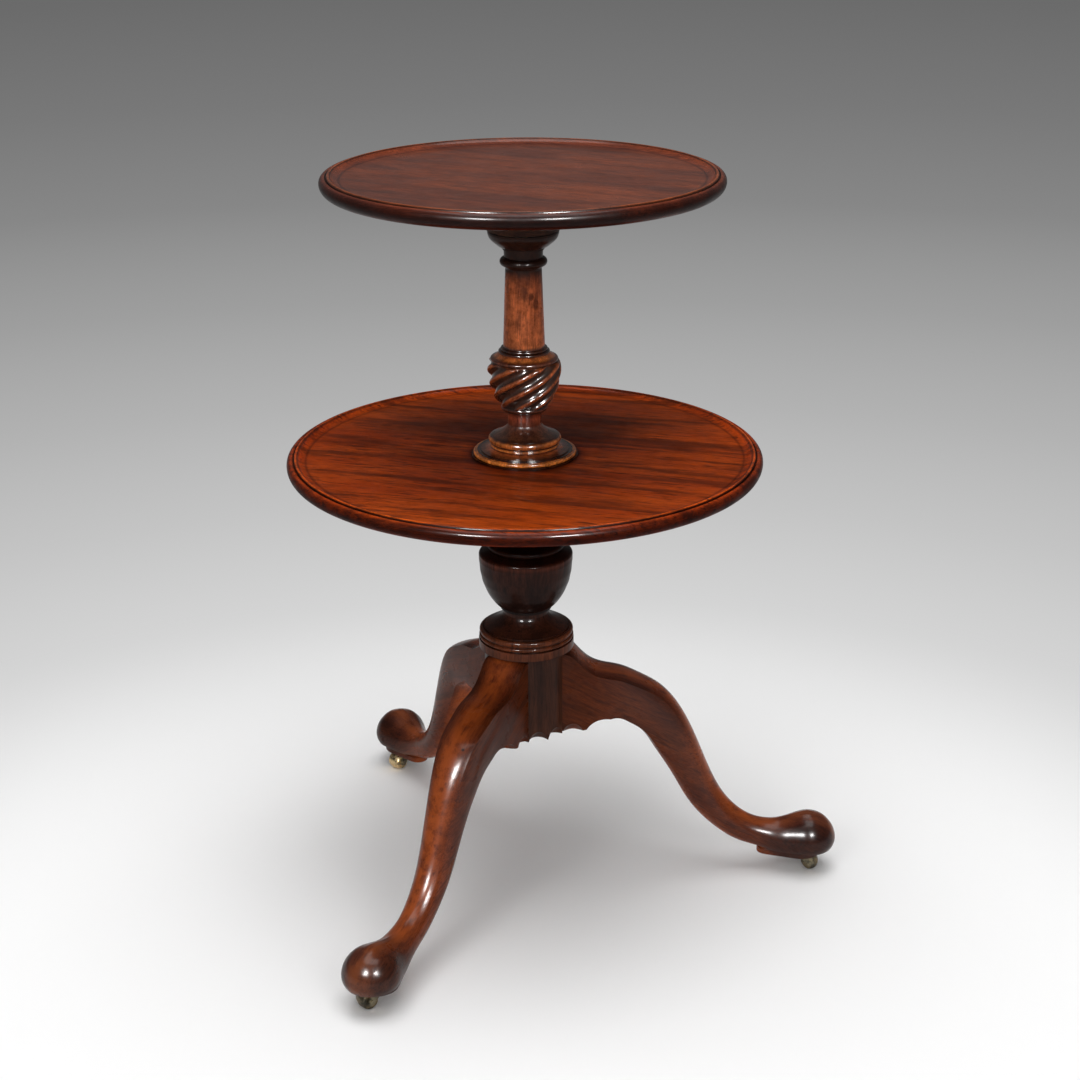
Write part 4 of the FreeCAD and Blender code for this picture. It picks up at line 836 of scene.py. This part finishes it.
class DUMBWAITER_OT_legs(bpy.types.Operator):
    """Finish the three legs"""
    bl_idname = "dumbwaiter.legs"
    bl_label = "Legs"

    def execute(self, context):
        look = context.scene.dumbwaiter_stand
        colours = (look.leg_light, look.leg_middle, look.leg_dark)
        for index, (leg, angle) in enumerate(LEG_ANGLES.items()):
            material, tree, shader = wood_material(
                "leg_polish_" + leg, turned_grain(angle, LEG_GRAIN_TIP), colours, look.leg_roughness,
                streaks=0.75, clouds=0.4, fine=1.7, gloss=0.05, coat_roughness=0.19,
                shift=(0.3 * index, 0.17 * index, 0.0))
            self.paint_lit_middle(tree, shader, angle, look.leg_light)
            out = distance_from_axis(tree, object_place(tree, (-900, 1900)), (-800, 1900))
            coat = BACK_LEG_COAT if leg == "back_left" else LEG_COAT
            polish = ramp(tree, out, *LEG_POLISH, (-400, 1900), LEG_ROOT_COAT, coat)
            tree.links.new(polish, shader.inputs["Coat Weight"])
            if leg == "front_left":
                darken_at(tree, shader, KNEE_PLUG, amount=0.8)
            finish_node("leg_" + leg, material)
        return {"FINISHED"}

    @staticmethod
    def paint_lit_middle(tree, shader, angle, light):
        """Painted light along the middle of the leg, in patches along the grain, where its upper face
        catches the light, and painted shade at its edges.
        """
        place = object_place(tree, (-1100, 1400), turned_grain(angle))
        out, side, _ = split_vector(tree, place, (-900, 1400))
        across = reckon(tree, "ABSOLUTE", side, None, (-700, 1400))
        middle = ramp(tree, across, *LEG_LIT_MIDDLE, (-500, 1400), 0.62, 0.0)
        along = stretched(tree, place, (14.0, 90.0, 90.0), (-900, 1200))
        patches = noise(tree, along, 1.0, 4.0, 0.6, (-700, 1200))
        lit_patches = ramp(tree, patches, 0.30, 0.60, (-500, 1200))
        part = reckon(tree, "MULTIPLY", middle, lit_patches, (-300, 1300))
        source = blend_colours(tree, part, base_colour(shader), rgba(light), (0, 1300))
        edges = ramp(tree, across, *LEG_SHADED_EDGE, (-500, 1000), 1.0, 0.46)
        source = reckon_vector(tree, "SCALE", source, edges, (200, 1300))
        tree.links.new(source, shader.inputs["Base Color"])
        tint_bands(tree, shader, out, LEG_TINTS, (400, 1300))


class DUMBWAITER_OT_brass(bpy.types.Operator):
    """Finish the casters, the washers, the iron strap and the screws"""
    bl_idname = "dumbwaiter.brass"
    bl_label = "Metalwork"

    def execute(self, context):
        look = context.scene.dumbwaiter_brass
        brass = self.metal("worn_brass", look.bright, look.dull, roughness=0.34, share=0.72)
        brown = self.metal("brown_brass", look.dull, look.horn_dull, roughness=0.38, share=0.62)
        horn = self.metal("tarnished_brass", look.horn_bright, look.horn_dull, roughness=0.45, share=0.6)
        iron = self.metal("black_iron", look.iron, look.rust, roughness=0.6, share=0.5)
        for leg in LEG_ANGLES:
            finish_node("caster_" + leg + "_roller", brass if leg == "back_left" else brown)
            for piece in ("_fork", "_axle", "_plate", "_screws"):
                finish_node("caster_" + leg + piece, horn)
        for name in ("lower_washer", "upper_washer"):
            finish_node(name, horn)
        for name in ("tripod_plate", "tripod_plate_screws", "lower_tier_screws", "top_tier_screws"):
            finish_node(name, iron)
        return {"FINISHED"}

    @staticmethod
    def metal(name, bright, dull, roughness, share):
        """Worn metal, of which the given share stays bright."""
        material, tree, shader = new_material(name)
        place = object_place(tree)
        patches = noise(tree, place, 90.0, 5.0, 0.65, (-700, 100))
        mask = ramp(tree, patches, share - 0.22, share, (-480, 100))
        colour = blend_colours(tree, mask, rgba(bright), rgba(dull), (-240, 100))
        grime = noise(tree, place, 400.0, 3.0, 0.6, (-700, -200))
        rough = ramp(tree, grime, 0.3, 0.7, (-480, -200), roughness * 0.7, roughness * 1.4)
        bump = add_node(tree, "ShaderNodeBump", (500, -300))
        feed(tree, bump, Height=grime, Strength=0.3, Distance=0.0002)
        feed(tree, shader, Base_Color=colour, Roughness=rough, Normal=bump.outputs["Normal"],
             Metallic=1.0)
        return material


class DUMBWAITER_OT_stage(bpy.types.Operator):
    """Set up the studio: floor and backdrop, lamps and camera"""
    bl_idname = "dumbwaiter.stage"
    bl_label = "Studio"

    def execute(self, context):
        look = context.scene.dumbwaiter_stage
        self.sweep(look)
        self.lamps(look)
        self.air(context.scene, look)
        self.camera(context.scene, look)
        context.scene.view_settings.view_transform = "Standard"
        return {"FINISHED"}

    def sweep(self, look):
        """Floor that curves up into the backdrop."""
        bpy.ops.object.select_all(action="DESELECT")
        bpy.ops.mesh.primitive_plane_add(size=1.0, location=(0, 0, 0))
        sweep = bpy.context.object
        sweep.name = "studio_sweep"
        bpy.ops.object.mode_set(mode="EDIT")
        bpy.ops.mesh.select_all(action="SELECT")
        bpy.ops.transform.resize(value=(SWEEP_WIDTH, SWEEP_DEPTH, 1.0))
        bpy.ops.transform.translate(value=(0, -SWEEP_FORWARD, 0))
        bpy.ops.mesh.select_all(action="DESELECT")
        bpy.ops.object.mode_set(mode="OBJECT")
        for edge in sweep.data.edges:
            edge.select = all(sweep.data.vertices[index].co.y > 0 for index in edge.vertices)
        bpy.ops.object.mode_set(mode="EDIT")
        bpy.ops.mesh.extrude_edges_move(TRANSFORM_OT_translate={"value": (0, 0, SWEEP_RISE)})
        bpy.ops.mesh.select_all(action="SELECT")
        bpy.ops.mesh.normals_make_consistent(inside=False)
        bpy.ops.object.mode_set(mode="OBJECT")
        bevel = sweep.modifiers.new("Round", "BEVEL")
        bevel.width = SWEEP_ROUND
        bevel.segments = SWEEP_ROUND_STEPS
        bevel.limit_method = "ANGLE"
        bpy.ops.object.modifier_apply(modifier=bevel.name)
        bpy.ops.object.shade_smooth()
        sweep.data.materials.append(self.sweep_material(look))

    @staticmethod
    def sweep_material(look):
        """A lit floor near the table, which further off glows with a grey that darkens with distance, a
        painted falloff of the studio's light.
        """
        material, tree, shader = new_material("studio_paper")
        feed(tree, shader, Base_Color=rgba(look.floor), Roughness=0.9, Specular_IOR_Level=0.05)
        x, y, z = split_vector(tree, object_place(tree), (-1100, 0))
        forward = reckon(tree, "ADD", y, GREY_FORWARD, (-900, 0))
        squares = reckon(tree, "ADD", reckon(tree, "POWER", x, 2.0, (-900, 200)),
                         reckon(tree, "POWER", forward, 2.0, (-700, 0)), (-500, 100))
        flat = reckon(tree, "SQRT", squares, None, (-300, 100))
        rise = reckon(tree, "MULTIPLY", z, GREY_CLIMB, (-700, -200))
        reach = reckon(tree, "ADD", flat, rise, (-100, 0))
        span = add_node(tree, "ShaderNodeMapRange", (100, 200))
        feed(tree, span, Value=reach, From_Min=0.0, From_Max=SWEEP_REACH)
        stops = [(metres / SWEEP_REACH, (grey, grey, grey)) for metres, grey in SWEEP_GREYS]
        grey = colour_ramp(tree, span.outputs["Result"], stops, (300, 200))
        glow = add_node(tree, "ShaderNodeEmission", (1500, 300))
        feed(tree, glow, Color=grey, Strength=1.0)
        far = ramp(tree, reach, *FLOOR_END, (900, 400))
        share = reckon(tree, "MULTIPLY", seen_directly(tree, (700, 600)), far, (1300, 500))
        mix = add_node(tree, "ShaderNodeMixShader", (1700, 200))
        tree.links.new(share, mix.inputs[0])
        tree.links.new(shader.outputs[0], mix.inputs[1])
        tree.links.new(glow.outputs[0], mix.inputs[2])
        tree.links.new(mix.outputs[0], tree.nodes["Material Output"].inputs["Surface"])
        return material

    def lamps(self, look):
        """Soft lamps, and two small ones that light nothing and only show as glints in the polish."""
        for name, place in KEY_PLACES.items():
            self.lamp(name, place, KEY_WIDTH, look.key_power)
        for name, place in GLINT_PLACES.items():
            glint = self.lamp(name, place, GLINT_WIDTH, look.glint_power)
            glint.visible_diffuse = False
        self.lamp("top_light", TOP_PLACE, TOP_WIDTH, look.top_power)

    @staticmethod
    def lamp(name, place, width, power):
        bpy.ops.object.light_add(type="AREA", location=place)
        lamp = bpy.context.object
        lamp.name = name
        lamp.data.shape = "SQUARE"
        lamp.data.size = width
        lamp.data.energy = power
        lamp.rotation_euler = (Vector(LAMP_AIM) - Vector(place)).to_track_quat("-Z", "Y").to_euler()
        return lamp

    @staticmethod
    def air(scene, look):
        """Plain light from all round, with the backdrop's far grey where it is seen."""
        world = bpy.data.worlds.new("studio_air")
        world.use_nodes = True
        tree = world.node_tree
        air = tree.nodes["Background"]
        feed(tree, air, Color=(1.0, 1.0, 1.0, 1.0), Strength=look.air_strength)
        dusk = add_node(tree, "ShaderNodeBackground", (0, -200))
        feed(tree, dusk, Color=rgba(look.distance))
        mix = add_node(tree, "ShaderNodeMixShader", (250, 100))
        tree.links.new(seen_directly(tree, (-400, 300)), mix.inputs[0])
        tree.links.new(air.outputs[0], mix.inputs[1])
        tree.links.new(dusk.outputs[0], mix.inputs[2])
        tree.links.new(mix.outputs[0], tree.nodes["World Output"].inputs["Surface"])
        scene.world = world

    @staticmethod
    def camera(scene, look):
        bpy.ops.object.camera_add(location=(0, -look.camera_back, look.camera_height))
        camera = bpy.context.object
        camera.name = "studio_camera"
        pitch, yaw, roll = look.camera_pitch, look.camera_yaw, look.camera_roll
        level = Vector((math.sin(yaw), math.cos(yaw), 0))
        forward = level * math.cos(pitch) - Vector((0, 0, math.sin(pitch)))
        right = Vector((math.cos(yaw), -math.sin(yaw), 0))
        up = right.cross(forward)
        leaning_right = right * math.cos(roll) + up * math.sin(roll)
        leaning_up = up * math.cos(roll) - right * math.sin(roll)
        camera.rotation_euler = Matrix((leaning_right, leaning_up, -forward)).transposed().to_euler()
        camera.data.sensor_fit = "HORIZONTAL"
        camera.data.sensor_width = SENSOR_WIDTH
        camera.data.lens = look.camera_lens
        camera.data.clip_end = SIGHT
        scene.camera = camera


OPERATORS = (DUMBWAITER_OT_tiers, DUMBWAITER_OT_column, DUMBWAITER_OT_legs, DUMBWAITER_OT_brass,
             DUMBWAITER_OT_stage)
SETTINGS = {"dumbwaiter_tiers": TierFinish, "dumbwaiter_stand": StandFinish,
            "dumbwaiter_brass": BrassFinish, "dumbwaiter_stage": StudioStage}


class DUMBWAITER_PT_panel(bpy.types.Panel):
    """Steps that finish the dumbwaiter table, and their settings"""
    bl_idname = "DUMBWAITER_PT_panel"
    bl_label = "Dumbwaiter"
    bl_space_type = "VIEW_3D"
    bl_region_type = "UI"
    bl_category = "Dumbwaiter"

    def draw(self, context):
        for operator in OPERATORS:
            self.layout.operator(operator.bl_idname)
        for name, group in SETTINGS.items():
            box = self.layout.box()
            for setting in group.__annotations__:
                box.prop(getattr(context.scene, name), setting)


def register():
    for name, group in SETTINGS.items():
        bpy.utils.register_class(group)
        setattr(bpy.types.Scene, name, PointerProperty(type=group))
    for kind in OPERATORS + (DUMBWAITER_PT_panel,):
        bpy.utils.register_class(kind)


def unregister():
    for kind in reversed(OPERATORS + (DUMBWAITER_PT_panel,)):
        bpy.utils.unregister_class(kind)
    for name, group in SETTINGS.items():
        delattr(bpy.types.Scene, name)
        bpy.utils.unregister_class(group)


def main():
    register()
    bpy.ops.dumbwaiter.tiers()
    bpy.ops.dumbwaiter.column()
    bpy.ops.dumbwaiter.legs()
    bpy.ops.dumbwaiter.brass()
    bpy.ops.dumbwaiter.stage()


if __name__ == "__main__":
    main()
